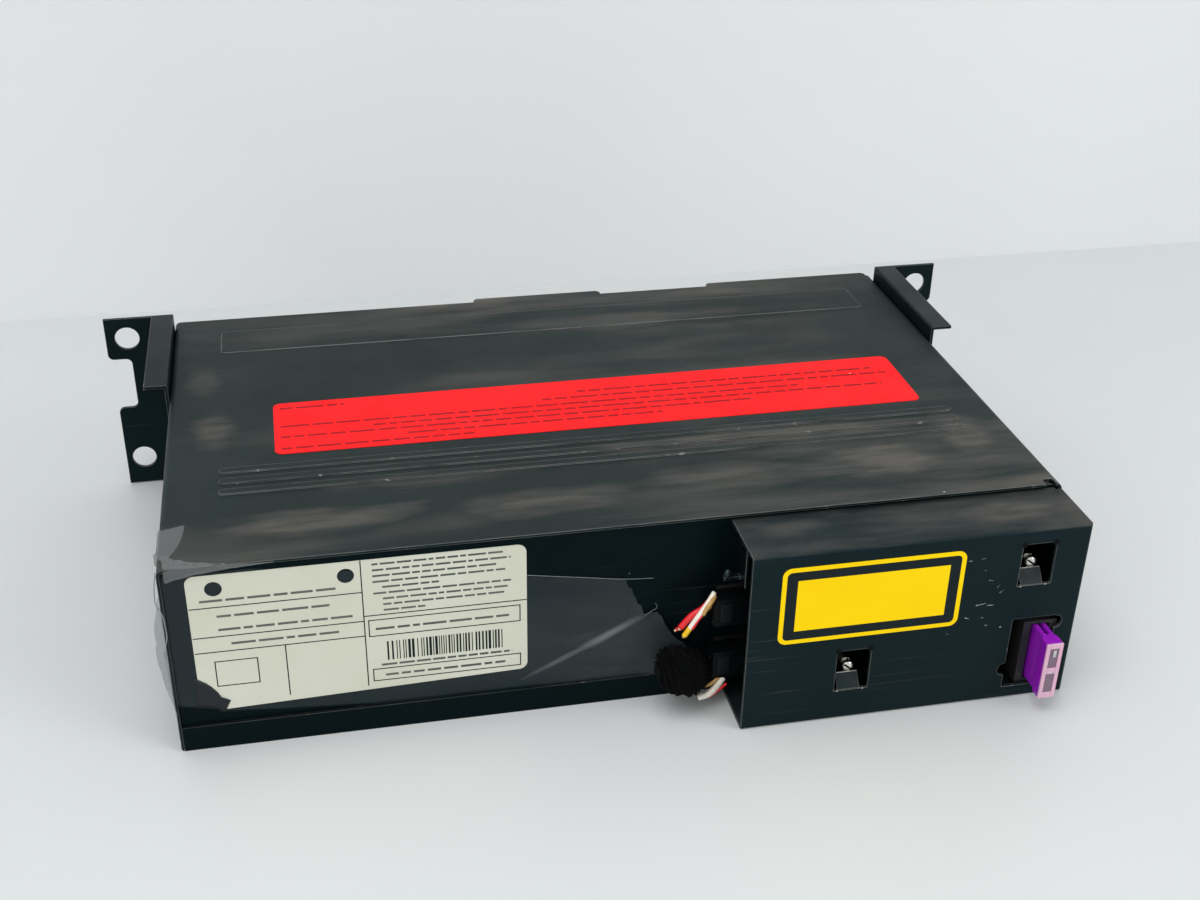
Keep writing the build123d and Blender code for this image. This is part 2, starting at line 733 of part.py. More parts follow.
for index in range(tray_count):
    low = first_tray + index * tray_pitch
    tray = block(disc_x - disc_radius + tray_short, disc_x + disc_radius + tray_rim, disc_y - tray_half_depth,
                 disc_y + tray_half_depth, low, low + tray_thickness)
    tray = tray - bar(disc_radius + disc_play, (disc_x, disc_y, low + tray_floor),
                      (disc_x, disc_y, low + tray_thickness + 1))
    tray = tray - bar(tray_slot / 2, (disc_x, disc_y, low - 1), (disc_x, disc_y, low + tray_thickness))
    tray = tray - block(disc_x - disc_radius, disc_x, disc_y - tray_slot / 2, disc_y + tray_slot / 2,
                        low - 1, low + tray_thickness + 1)
    tray = tray - block(disc_x - tray_slot / 2, disc_x + tray_slot / 2, disc_y - disc_radius + 4, disc_y,
                        low - 1, low + tray_thickness)
    save("tray_" + str(index + 1), tray)
    disc = ring(disc_radius, disc_bore, (disc_x, disc_y, low + tray_floor), disc_thickness)
    save("disc_" + str(index + 1), disc)

# ---------------------------------------- dampers and the coils round them
damper_side = half_width - damper_side_in
damper_places = [(x, y) for y in (rear + damper_rear_in, front - damper_front_in)
                 for x in (-damper_side, damper_side)]
dampers = []
coils = []
coil_low = steel_sheet + coil_seat
coil_high = frame_level - coil_seat
for x, y in damper_places:
    foot = bar(damper_radius, (x, y, steel_sheet), (x, y, steel_sheet + damper_end))
    head = bar(damper_radius, (x, y, frame_level - damper_end), (x, y, frame_level))
    dampers.append(foot + head + bar(damper_waist, (x, y, steel_sheet), (x, y, frame_level)))
    coils.append(coil(damper_radius - 0.6, damper_wire, damper_turns, coil_high - coil_low,
                      Pos(x, y, coil_low)))
save("dampers", group(dampers))
save("suspension_coils", group(coils))

# ---------------------------------------- floating frame
magazine_floor_left = magazine_left + 0.8
frame = block(magazine_floor_left, frame_right, frame_rear, frame_front_back, frame_level, frame_top_face)
frame = frame + block(frame_left, magazine_floor_left + 1, frame_rear, deck_wall_front, frame_level,
                      frame_top_face)
frame = frame + block(frame_left, frame_left + frame_thin, frame_rear, frame_front_wall, frame_level,
                      frame_wall_top)
frame = frame + block(frame_left, frame_left + 2 * frame_thin, frame_rear, frame_front_wall, frame_level,
                      frame_top_face)
wall_right = magazine_left - 1.2
frame = frame + block(frame_left, wall_right, frame_front_back, frame_front_wall, frame_level, frame_wall_top)
frame = frame + block(pin_left - cam_margin, wall_right, frame_front_back, frame_front_wall, frame_foot,
                      frame_level + 1)
frame = frame + block(magazine_floor_left, magazine_floor_left + 6, frame_front_back - 6, frame_front_wall,
                      frame_level, frame_top_face)
frame = frame + block(wall_right - 4, magazine_floor_left + 1, frame_front_back, frame_front_wall, frame_level,
                      frame_top_face)
frame = frame + block(frame_left, wall_right, deck_wall_back, deck_wall_front, frame_level, frame_wall_top)
frame = frame + block(pin_left - cam_margin, wall_right, deck_wall_back, deck_wall_front, frame_foot,
                      frame_level + 1)
frame = frame + block(frame_right - cover_sheet, frame_right, frame_rear, frame_front_back, frame_level,
                      frame_wall_top)
gusset_y = front - damper_front_in
frame = frame + block(frame_left, -damper_side + gusset_reach, gusset_y - gusset_depth, gusset_y + gusset_depth,
                      frame_level, frame_top_face)
slot_half = pin_radius + pin_gap
for pin_x in (pin_left, pin_right):
    for wall_y in (deck_wall_back, frame_front_back):
        frame = frame - block(pin_x - slot_half, pin_x + slot_half, wall_y - 0.2, wall_y + frame_thin + 0.2,
                              pin_level - slot_half, pin_level + deck_travel + slot_half)
ear_low = last_tray + tray_thickness + 1.4
pivot_half = clamp_half_width + 1
for ear_y in (play_y - pivot_half - ear_sheet, play_y + pivot_half):
    frame = frame + block(frame_left, pivot_x + 4, ear_y, ear_y + ear_sheet, ear_low, frame_wall_top + 1.2)
frame = frame - bar(pivot_radius + running_gap, (pivot_x, play_y - pivot_half - 5, pivot_level),
                    (pivot_x, play_y + pivot_half + 5, pivot_level))
lever_x = half_width - lever_side_in
lever_y = rear + lever_rear_in
frame = frame + bar(lever_post_radius, (lever_x, lever_y, frame_level),
                    (lever_x, lever_y, frame_top_face + lever_post_height))
screw_y = deck_front - lift_screw_in
lift_screw_left = pin_left - 7
lift_neck_radius = lift_screw_radius - 0.4
lug = block(lift_screw_left - 2, lift_screw_left, screw_y - 3, frame_front_wall, lift_screw_level - 3,
            frame_level + 1)
lug = lug - bar(lift_neck_radius + running_gap, (lift_screw_left - 3, screw_y, lift_screw_level),
                (lift_screw_left + 1, screw_y, lift_screw_level))
lug = lug - block(lift_screw_left - 3, lift_screw_left + 1, cam_back - fit_gap, frame_front_back,
                  pin_level - cam_edge - fit_gap, frame_top_face)
frame = frame + lug
save("float_frame", frame)

# ---------------------------------------- slides that carry the magazine
guide_low = frame_top_face
slides = []
for y in (magazine_rear + slide_rear_in, magazine_front - slide_front_in):
    slides.append(block(magazine_left + slide_side_in, magazine_right - slide_side_in, y, y + slide_depth,
                        guide_low, magazine_base - fit_gap))
save("magazine_slides", group(slides))

# ---------------------------------------- eject lever on its post, and its spring
lever_low = frame_top_face + fit_gap
lever_high = lever_low + lever_sheet
tip_x = lever_x - lever_length
tip_y = magazine_rear - lever_roller_radius - lever_roller_gap
lever_run = Vector(tip_x - lever_x, tip_y - lever_y, 0)
lever_turn = math.degrees(math.atan2(lever_run.Y, lever_run.X))
strip = block(0, lever_run.length, -lever_post_radius, lever_post_radius, 0, lever_sheet)
lever = Pos(lever_x, lever_y, lever_low) * Rot(0, 0, lever_turn) * strip
lever = lever + bar(lever_boss_radius, (lever_x, lever_y, lever_low), (lever_x, lever_y, lever_high))
roller_top = magazine_base + lever_roller_rise
lever = lever + bar(lever_roller_radius, (tip_x, tip_y, lever_low), (tip_x, tip_y, roller_top))
lever = lever - bar(lever_post_radius + running_gap, (lever_x, lever_y, 0), (lever_x, lever_y, casing_height))
save("eject_lever", lever)
spring_base = Pos(lever_x, lever_y, lever_high + eject_wire / 2 + fit_gap)
spring_coil_radius = lever_post_radius + eject_wire / 2 + eject_wire
save("eject_spring", coil(spring_coil_radius, eject_wire, eject_turns, eject_height, spring_base))

# ---------------------------------------- lift drive: motor, screw and the cam plate
motor_left = pin_right + 8


def lift_bar(radius, left, right):
    """A round bar on the lift screw's axis."""
    return bar(radius, (left, screw_y, lift_screw_level), (right, screw_y, lift_screw_level))


lift_motor = lift_bar(lift_motor_radius, motor_left, motor_left + lift_motor_length)
lift_motor = lift_motor + lift_bar(motor_collar_radius, motor_left - motor_collar, motor_left)
lift_motor = lift_motor - lift_bar(motor_bore_radius, motor_left - motor_collar - 1, motor_left + 6)
motor_foot = block(motor_left + 4, motor_left + lift_motor_length - 4, screw_y - 4, screw_y + 4, steel_sheet,
                   lift_screw_level - lift_motor_radius + 0.6)
save("lift_motor", lift_motor + motor_foot)

thread_left = lift_screw_left + fit_gap + pin_gap
thread_right = motor_left - motor_collar - fit_gap
lift_screw = grooved_bar(lift_screw_radius, (thread_left, screw_y, lift_screw_level),
                         (thread_right, screw_y, lift_screw_level), 2, thread_right - thread_left - 3)
lift_screw = lift_screw + lift_bar(lift_neck_radius, lift_screw_left - 2, thread_left + 1)
lift_screw = lift_screw + lift_bar(journal_radius, thread_right - 1, motor_left + 5)
save("lift_screw", lift_screw)

cam_left = pin_left - cam_margin
cam_right = pin_right + deck_travel + cam_margin
cam_low = pin_level - cam_edge
cam_high = pin_level + deck_travel + cam_edge
cam = block(cam_left, cam_right, cam_back, cam_front, cam_low, cam_high)
slot_run = deck_travel * math.sqrt(2)
for pin_x in (pin_left, pin_right):
    slot = Rot(0, -45, 0) * Rot(90, 0, 0) * extrude(SlotCenterToCenter(slot_run, 2 * slot_half), 4, both=True)
    cam = cam - Pos(pin_x + deck_travel / 2, cam_back, pin_level + deck_travel / 2) * slot
nut_left = lift_screw_left + 4 + deck_travel
nut = block(nut_left, nut_left + nut_length, screw_y - 3, cam_front, lift_screw_level - 3, cam_low + 0.1)
nut = nut - lift_bar(lift_screw_radius + running_gap, nut_left - 1, nut_left + nut_length + 1)
save("cam_plate", cam + nut)

# ---------------------------------------- deck plate with its pins and the puller's rail
deck = block(deck_left, deck_right, deck_rear, deck_front, deck_low, deck_top)
rail_left = frame_left + 5.6
rail_right = magazine_left - 0.6
deck = deck + block(rail_left, rail_right, deck_rear, deck_rear + 4.3, deck_low, deck_top)
rail_y = deck_rear + 2
deck = deck + block(rail_left, rail_right, rail_y, rail_y + puller_rail, deck_top - 0.1, deck_top + rail_rise)
deck = deck - block(play_x - sled_width / 2 - 1.5, play_x + sled_width / 2 + 1.5,
                    lens_y - sled_travel - sled_rear - 1.5, lens_y + sled_front + 1.5,
                    deck_low - 1, deck_top + 1)
deck = deck - bar(shaft_radius + 1.2, (play_x, play_y, deck_low - 1), (play_x, play_y, deck_top + 1))
for pin_x in (pin_left, pin_right):
    deck = deck + bar(pin_radius, (pin_x, deck_front - 4, pin_level),
                      (pin_x, frame_front_wall - 0.3, pin_level))
    deck = deck + bar(pin_radius, (pin_x, deck_rear + 4, pin_level), (pin_x, deck_wall_back + 0.2, pin_level))
rod_rear = lens_y - sled_travel - sled_rear - 3
rod_front = lens_y + sled_front + 2
for side in (-1, 1):
    rod_x = play_x + side * rod_spread
    for end_y in (rod_rear, rod_front):
        hanger = block(rod_x - hanger_half, rod_x + hanger_half, end_y - hanger_thickness / 2,
                       end_y + hanger_thickness / 2, rod_level - hanger_half, deck_low + 0.1)
        deck = deck + (hanger - bar(rod_radius, (rod_x, end_y - 2, rod_level), (rod_x, end_y + 2, rod_level)))
screw_x = play_x + screw_offset
hanger = block(screw_x - screw_hanger_half, screw_x + screw_hanger_half, rod_rear - hanger_thickness / 2,
               rod_rear + hanger_thickness / 2, rod_level - screw_hanger_half, deck_low + 0.1)
deck = deck + (hanger - bar(screw_neck + running_gap, (screw_x, rod_rear - 2, rod_level),
                            (screw_x, rod_rear + 2, rod_level)))
save("deck_plate", deck)

rod_ends = (rod_rear - hanger_thickness / 2, rod_front + hanger_thickness / 2)
rods = [bar(rod_radius, (play_x + side * rod_spread, rod_ends[0], rod_level),
            (play_x + side * rod_spread, rod_ends[1], rod_level)) for side in (-1, 1)]
save("guide_rods", group(rods))

# ---------------------------------------- spindle motor and turntable
motor_top = deck_low
spindle_motor = bar(motor_radius, (play_x, play_y, motor_top - motor_height), (play_x, play_y, motor_top))
spindle_motor = spindle_motor - bar(shaft_radius + running_gap,
                                    (play_x, play_y, motor_top - motor_height + 1.5),
                                    (play_x, play_y, motor_top + 1))
save("spindle_motor", spindle_motor)
platter_low = platter_top - platter_height
turntable = bar(platter_radius, (play_x, play_y, platter_low), (play_x, play_y, platter_top))
turntable = turntable - ring(platter_radius - platter_rim, cone_radius + platter_rim,
                             (play_x, play_y, platter_top - 0.6), 2)
cone = bar(cone_radius, (play_x, play_y, platter_top - 0.8), (play_x, play_y, platter_top + spindle_tip))
turntable = turntable + chamfer(cone.edges().group_by(Axis.Z)[-1], cone_edge)
turntable = turntable + bar(shaft_radius, (play_x, play_y, motor_top - motor_height + 1.8),
                            (play_x, play_y, platter_low + 0.1))
turntable = turntable + bar(hub_radius, (play_x, play_y, deck_top + 0.2), (play_x, play_y, platter_low + 0.1))
save("turntable", turntable)

# ---------------------------------------- pickup sled, its lens, screw and motor
sled = block(play_x - sled_width / 2, play_x + sled_width / 2, lens_y - sled_rear, lens_y + sled_front,
             sled_low, rod_level + 3)
sled = sled + block(play_x - 8, play_x + 8, lens_y - sled_rear, lens_y + sled_front, rod_level, sled_high)
lens_bore = bar(lens_radius + 0.3, (play_x, lens_y, sled_high - 2), (play_x, lens_y, sled_high + 1))
sled = sled - lens_bore
for side in (-1, 1):
    rod_x = play_x + side * rod_spread
    sled = sled - bar(rod_radius + running_gap, (rod_x, lens_y - 20, rod_level),
                      (rod_x, lens_y + 20, rod_level))
sled = sled + block(play_x + sled_width / 2 - 1, screw_x + screw_hanger_half, lens_y - 2, lens_y + 4,
                    rod_level - screw_hanger_half, rod_level + screw_hanger_half)
sled = sled - bar(screw_lead_radius + running_gap, (screw_x, lens_y - 20, rod_level),
                  (screw_x, lens_y + 20, rod_level))
save("pickup_sled", sled)
lens = bar(lens_radius, (play_x, lens_y, sled_high - 2), (play_x, lens_y, sled_high + 0.8))
save("lens", fillet(lens.edges().group_by(Axis.Z)[-1], 0.5))
sled_screw = grooved_bar(screw_lead_radius, (screw_x, rod_rear + 1.5, rod_level),
                         (screw_x, rod_front, rod_level), 2, rod_front - rod_rear - 4)
sled_screw = sled_screw + bar(screw_neck, (screw_x, rod_ends[0], rod_level),
                              (screw_x, rod_front + 3, rod_level))
save("sled_screw", sled_screw)
motor_start = rod_front + fit_gap
sled_motor = bar(sled_motor_radius, (screw_x, motor_start, rod_level),
                 (screw_x, motor_start + sled_motor_length, rod_level))
sled_motor = sled_motor & block(screw_x - sled_motor_radius, screw_x + sled_motor_radius, motor_start,
                                motor_start + sled_motor_length, rod_level - sled_motor_half, deck_low)
sled_motor = sled_motor - bar(screw_neck + running_gap, (screw_x, rod_front, rod_level),
                              (screw_x, rod_front + 3.2, rod_level))
save("sled_motor", sled_motor)

# ---------------------------------------- tray puller on the deck's rail
puller_right = rail_right - 0.4
puller_left = puller_right - puller_length
puller_y = rail_y + puller_rail / 2
puller = block(puller_left, puller_right, puller_y - 2, puller_y + 2.6, deck_top + fit_gap,
               deck_top + rail_rise + 2)
puller = puller - block(puller_left - 1, puller_right + 1, rail_y - puller_gap,
                        rail_y + puller_rail + puller_gap, deck_top, deck_top + rail_rise + puller_gap)
puller = puller + block(puller_left, puller_left + 1.6, puller_y + 2, disc_y - tray_half_depth - 0.5,
                        deck_top + 2, deck_top + rail_rise + 2)
save("tray_puller", puller)

# ---------------------------------------- clamp arm with its free-turning puck
arm = block(pivot_x - 2, play_x + clamp_radius, play_y - clamp_half_width, play_y + clamp_half_width,
            clamp_plate, clamp_plate + clamp_sheet)
arm = arm - block(pivot_x + 12, play_x - clamp_radius - 4, play_y - clamp_slot_half, play_y + clamp_slot_half,
                  clamp_plate - 1, clamp_plate + 3)
arm = arm + bar(clamp_hub_radius, (pivot_x, play_y - clamp_half_width, pivot_level),
                (pivot_x, play_y + clamp_half_width, pivot_level))
arm = arm + bar(pivot_radius, (pivot_x, play_y - pivot_half - 1.8, pivot_level),
                (pivot_x, play_y + pivot_half + 1.8, pivot_level))
save("clamp_arm", arm)
save("clamp_puck", ring(clamp_radius, clamp_hole, (play_x, play_y, clamp_level), clamp_height))

# ---------------------------------------- main board and what is soldered to it
main_board = block(board_left, board_right, board_rear, board_front, board_level, board_level + board_thickness)
save("main_board", main_board)
board_top = board_level + board_thickness
chips = []
for x, y, width, depth in chips_at:
    chips.append(block(board_left + x, board_left + x + width, board_rear + y, board_rear + y + depth,
                       board_top, board_top + chip_height))
for x, y, radius, height in cans_at:
    chips.append(bar(radius, (board_left + x, board_rear + y, board_top),
                     (board_left + x, board_rear + y, board_top + height)))
save("board_parts", group(chips))

# ---------------------------------------- connector board, sockets, plugs and cut wires
plug_board_face = wall_back + plug_board_gap
plug_board_back = plug_board_face + board_thickness
plug_board = block(plug_left - 4, half_width - 6, plug_board_face, plug_board_back, steel_sheet + 2,
                   plug_board_top)
save("plug_board", plug_board)
sockets = []
plugs = []
for level in (lower_plug_level, upper_plug_level):
    sockets.append(block(socket_left, socket_right, wall_face - socket_proud, plug_board_face,
                         level + socket_edge, level + plug_height - socket_edge))
    plug_back = wall_face - socket_proud
    plug = block(plug_left, plug_left + plug_length, plug_back - plug_depth, plug_back,
                 level, level + plug_height)
    plug = chamfer(plug.edges().filter_by(Axis.Z).group_by(Axis.X)[0], plug_chamfer)
    plugs.append(plug)
save("sockets", group(sockets))
save("plugs", group(plugs))

cable_left = plug_left
cable_right = cable_left + cable_width
cable_end = board_rear + 6
cable_top = board_top + cable_rise + cable_thickness
flat_cable = block(cable_left, cable_right, plug_board_back, cable_end, board_top + cable_rise, cable_top)
flat_cable = flat_cable + block(cable_left, cable_right, cable_end - cable_thickness, cable_end,
                                board_top, cable_top)
save("flat_cable", flat_cable)

wires = []
wire_y = wall_face - socket_proud - plug_depth / 2
for wire_start, knee, wire_end in (
        ((0, -1.4, 7.4), (-2.4, -1.4, 7.4), (-9.6, -2.6, -2.6)),
        ((0, 0.0, 6.2), (-2.8, 0.0, 6.2), (-8.6, -0.6, 0.4)),
        ((0, 1.4, 4.6), (-2.2, 1.4, 4.6), (-10.8, 1.6, -1.2))):
    points = [(plug_left + x, wire_y + y, upper_plug_level + z) for x, y, z in (wire_start, knee, wire_end)]
    path = FilletPolyline(*points, radius=wire_bend)
    wires.append(sweep(Plane(origin=path @ 0, z_dir=path % 0) * Circle(wire_radius), path=path))
save("cut_wires", group(wires))

wrap_y = wall_face - wrap_radius - wrap_wall_gap
wrap_start = (plug_left - 14.5, wrap_y - 0.6, lower_plug_level + 4.5)
wrap_end = (plug_left - 1.6, wrap_y, lower_plug_level + 1.8)
wrap = bar(wrap_radius, wrap_start, wrap_end)
wrap = chamfer(wrap.edges(), wrap_chamfer)
save("loom_wrap", wrap)
tails = []
for offset_y, offset_z in ((-1.0, 0.6), (1.2, 2.6), (0.4, -0.6)):
    tail_y = wire_y - 0.8 + offset_y
    tail_z = lower_plug_level + 1.8 + offset_z
    tails.append(bar(wire_radius, (plug_left - 2.6, tail_y, tail_z), (plug_left, tail_y, tail_z)))
save("wire_tails", group([tail - wrap for tail in tails]))

# ---------------------------------------- fuse holder and blade fuse
holder = block(fuse_x - fuse_thickness / 2 - holder_wall, fuse_x + fuse_thickness / 2 + holder_wall,
               shield_back + fit_gap, wall_face, fuse_low - holder_wall / 2,
               fuse_low + fuse_height + holder_wall / 2)
half_neck = fuse_neck / 2
half_fuse = fuse_thickness / 2
holder = holder - block(fuse_x - half_fuse - fit_gap, fuse_x + half_fuse + fit_gap, shield_face,
                        fuse_root + 0.2, fuse_low - fit_gap, fuse_low + fuse_height + fit_gap)
holder = holder - block(fuse_x - holder_wall - fuse_thickness, fuse_x + holder_wall + fuse_thickness,
                        rear - fit_gap / 2, wall_face + 1, 0, tray_lip + fit_gap)
blades = []
for side in (-1, 1):
    blade_z = fuse_z + side * blade_spread / 2
    blades.append(block(fuse_x - blade_thickness / 2, fuse_x + blade_thickness / 2, fuse_root - 0.1,
                        fuse_root + blade_length, blade_z - blade_width / 2, blade_z + blade_width / 2))
    holder = holder - block(fuse_x - blade_thickness / 2 - blade_gap, fuse_x + blade_thickness / 2 + blade_gap,
                            fuse_root - 1, fuse_root + blade_length + 1,
                            blade_z - blade_width / 2 - blade_gap, blade_z + blade_width / 2 + blade_gap)
save("fuse_holder", holder)
head_y = fuse_end + fuse_head
outline = Polyline((-half_fuse, fuse_end), (half_fuse, fuse_end), (half_fuse, head_y),
                   (half_neck, head_y + fuse_flare), (half_neck, fuse_root), (-half_neck, fuse_root),
                   (-half_neck, head_y + fuse_flare), (-half_fuse, head_y), close=True)
fuse = Pos(fuse_x, 0, fuse_low) * extrude(make_face(outline), fuse_height)
for side in (-1, 1):
    slot_z = fuse_z + side * fuse_height / 4.2
    fuse = fuse - block(fuse_x - 0.9, fuse_x + 0.9, fuse_end - 1, fuse_end + 1.2, slot_z - 2.6, slot_z + 2.6)
for blade in blades:
    fuse = fuse + blade
save("blade_fuse", fuse)
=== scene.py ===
import math
import random
import json

import bmesh
import bpy
from mathutils import Euler, Matrix, Vector, noise

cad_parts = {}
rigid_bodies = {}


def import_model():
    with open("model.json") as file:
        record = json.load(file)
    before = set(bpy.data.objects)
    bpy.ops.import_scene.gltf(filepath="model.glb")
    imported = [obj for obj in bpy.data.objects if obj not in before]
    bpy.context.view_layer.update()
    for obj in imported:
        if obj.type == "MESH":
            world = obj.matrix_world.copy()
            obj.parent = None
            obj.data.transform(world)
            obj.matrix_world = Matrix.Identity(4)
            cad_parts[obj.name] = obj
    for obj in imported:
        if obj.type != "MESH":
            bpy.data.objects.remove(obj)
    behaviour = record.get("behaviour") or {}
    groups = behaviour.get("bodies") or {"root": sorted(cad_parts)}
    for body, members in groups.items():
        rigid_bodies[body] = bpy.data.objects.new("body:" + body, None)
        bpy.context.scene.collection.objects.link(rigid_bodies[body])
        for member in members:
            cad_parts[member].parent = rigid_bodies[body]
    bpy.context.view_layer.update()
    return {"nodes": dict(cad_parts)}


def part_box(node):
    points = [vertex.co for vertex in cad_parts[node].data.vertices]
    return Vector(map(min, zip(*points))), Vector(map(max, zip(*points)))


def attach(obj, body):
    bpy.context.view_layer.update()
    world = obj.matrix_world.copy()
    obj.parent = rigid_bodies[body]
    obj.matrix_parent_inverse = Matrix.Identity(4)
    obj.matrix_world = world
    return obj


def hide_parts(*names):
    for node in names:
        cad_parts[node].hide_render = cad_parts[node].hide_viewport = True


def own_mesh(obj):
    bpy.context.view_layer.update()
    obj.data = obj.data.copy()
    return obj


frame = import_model()
mm = 0.001
in_scene = bpy.context.scene.collection.objects


# ------------------------------------------------------------ camera, table and light
# The changer stands on a white table against a pale wall, seen from behind and above. The camera's place
# and lens were worked out from the straight edges of the case. The light is soft and comes from overhead.
photo_width = 1200
focal_pixels = 1528.1
sensor = 36.0
eye = bpy.data.cameras.new("eye")
eye.sensor_width = sensor
eye.lens = focal_pixels / photo_width * sensor
eye.clip_start = 0.01
eye.clip_end = 20
camera = bpy.data.objects.new("camera", eye)
camera.location = (-0.08575, -0.42800, 0.28502)
camera.rotation_euler = Euler([math.radians(turn) for turn in (60.7616, -0.8853, -11.7492)])
in_scene.link(camera)
bpy.context.scene.camera = camera
bpy.context.scene.view_settings.view_transform = "Standard"


def new_finish(name):
    """A material with its shader and the piece's own coordinates."""
    material = bpy.data.materials.new(name)
    material.use_nodes = True
    shader = material.node_tree.nodes["Principled BSDF"]
    place = material.node_tree.nodes.new("ShaderNodeTexCoord").outputs["Object"]
    return material, shader, place


def feed(material, socket, value):
    """Links a socket to another or sets it; a colour of three parts is opaque."""
    if isinstance(value, bpy.types.NodeSocket):
        material.node_tree.links.new(value, socket)
    else:
        socket.default_value = (*value, 1) if socket.type == "RGBA" else value


def node(material, kind, inputs=(), **settings):
    """A node with its settings, and its inputs given as sockets or plain values."""
    made = material.node_tree.nodes.new("ShaderNode" + kind)
    for key, value in settings.items():
        setattr(made, key, value)
    for key, value in dict(inputs).items():
        feed(material, made.inputs[key], value)
    return made


def cloud(material, place, scale, detail=4.0, stretch=(1, 1, 1), rough=0.55):
    """Soft noise per metre; a small number in stretch draws it out along that axis."""
    spread = node(material, "Mapping", {"Vector": place, "Scale": stretch}).outputs["Vector"]
    return node(material, "TexNoise", {"Vector": spread, "Scale": scale, "Detail": detail,
                "Roughness": rough}).outputs["Fac"]


def between(material, value, low, high, to_low=0.0, to_high=1.0):
    """The value's range low to high, as to_low to to_high and no further."""
    return node(material, "MapRange", {"Value": value, "From Min": low, "From Max": high, "To Min": to_low,
                "To Max": to_high}, clamp=True).outputs["Result"]


def patchy(material, place, scale, detail, *limits):
    """Soft noise, its middle range spread out over between's limits."""
    return between(material, cloud(material, place, scale, detail), *limits)


def times(material, first, second):
    return node(material, "Math", {0: first, 1: second}, operation="MULTIPLY").outputs["Value"]


def either(material, first, second):
    return node(material, "Math", {0: first, 1: second}, operation="MAXIMUM").outputs["Value"]


def blend_colour(material, amount, first, second):
    """One colour where amount is 0, the other where it is 1."""
    mixed = node(material, "Mix", {0: amount}, data_type="RGBA")
    feed(material, mixed.inputs[6], first)
    feed(material, mixed.inputs[7], second)
    return mixed.outputs[2]


def join(material, shader, **sockets):
    """Links or sets the shader's sockets; a name's underscores stand for spaces."""
    for key, value in sockets.items():
        feed(material, shader.inputs[key.replace("_", " ")], value)


def two_tone(material, shader, amount, first, second, **sockets):
    """Mixes two colours for the shader and feeds its other sockets."""
    join(material, shader, Base_Color=blend_colour(material, amount, first, second), **sockets)


def relief(material, height, depth_mm, normal=None):
    """A bump of that depth in millimetres."""
    inputs = {"Height": height, "Strength": 1.0, "Distance": depth_mm * mm}
    if normal is not None:
        inputs["Normal"] = normal
    return node(material, "Bump", inputs).outputs["Normal"]


def dress(material, *names):
    """Gives CAD nodes a finish."""
    for name in names:
        slots = frame["nodes"][name].data.materials
        slots.clear()
        slots.append(material)


def new_piece(name, form, material, body="case", smooth=False):
    """A finished mesh as a piece that rides on a body."""
    mesh = bpy.data.meshes.new(name)
    form.to_mesh(mesh)
    form.free()
    mesh.materials.append(material)
    if smooth:
        mesh.shade_smooth()
    piece = bpy.data.objects.new(name, mesh)
    in_scene.link(piece)
    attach(piece, body)
    return piece


def add_box(form, low, high):
    """A box between two corners given in millimetres; its vertices are returned."""
    size = [(b - a) * mm for a, b in zip(low, high)]
    middle = [(a + b) / 2 * mm for a, b in zip(low, high)]
    matrix = Matrix.Translation(middle) @ Matrix.Diagonal((*size, 1))
    return bmesh.ops.create_cube(form, size=1, matrix=matrix)["verts"]


table_finish, shader, place = new_finish("white_table")
patches = cloud(table_finish, place, 3.0, 3.0)
two_tone(table_finish, shader, between(table_finish, patches, 0.3, 0.7),
        (0.52, 0.535, 0.535), (0.56, 0.575, 0.575),
        Roughness=0.42, Specular_IOR_Level=0.35,
        Normal=relief(table_finish, cloud(table_finish, place, 900.0, 2.0), 0.01))

# The wall shows only to what stands before it, so that the case can be seen from its front as well.
wall_finish, shader, place = new_finish("pale_wall")
patches = cloud(wall_finish, place, 2.0, 3.0)
two_tone(wall_finish, shader, between(wall_finish, patches, 0.3, 0.7),
        (0.66, 0.675, 0.675), (0.72, 0.735, 0.73), Roughness=0.9)
seen_behind = node(wall_finish, "NewGeometry").outputs["Backfacing"]
clear = node(wall_finish, "BsdfTransparent").outputs["BSDF"]
either_side = node(wall_finish, "MixShader", {0: seen_behind, 1: shader.outputs["BSDF"], 2: clear})
wall_finish.node_tree.links.new(either_side.outputs["Shader"],
        wall_finish.node_tree.nodes["Material Output"].inputs["Surface"])
wall_behind = 0.23
reach = 1.8
table_corners = ((-reach, -reach, 0), (reach, -reach, 0), (reach, reach, 0), (-reach, reach, 0))
wall_corners = [(x, wall_behind, z) for x, z in ((-reach, 0), (reach, 0), (reach, reach), (-reach, reach))]
for name, finish, corners in (("table", table_finish, table_corners), ("wall", wall_finish, wall_corners)):
    form = bmesh.new()
    form.faces.new([form.verts.new(corner) for corner in corners])
    new_piece(name, form, finish)

world = bpy.data.worlds.new("room")
world.use_nodes = True
sky = world.node_tree.nodes["Background"].inputs
sky["Color"].default_value = (0.95, 0.975, 1.0, 1)
sky["Strength"].default_value = 0.74
bpy.context.scene.world = world
for name, spot, aim, size, power in (
        ("ceiling_light", (-0.25, -0.25, 1.25), (0.0, 0.0, 0.0), 0.9, 8.0),
        ("window_light", (-0.9, -1.1, 0.8), (0.0, -0.05, 0.02), 0.9, 4.5),
        ("side_light", (1.1, -0.9, 0.75), (0.0, -0.05, 0.02), 0.7, 8.0)):
    lamp = bpy.data.lights.new(name, "AREA")
    lamp.size = size
    lamp.energy = power
    lit = bpy.data.objects.new(name, lamp)
    lit.location = spot
    lit.rotation_euler = (Vector(aim) - Vector(spot)).to_track_quat("-Z", "Y").to_euler()
    in_scene.link(lit)


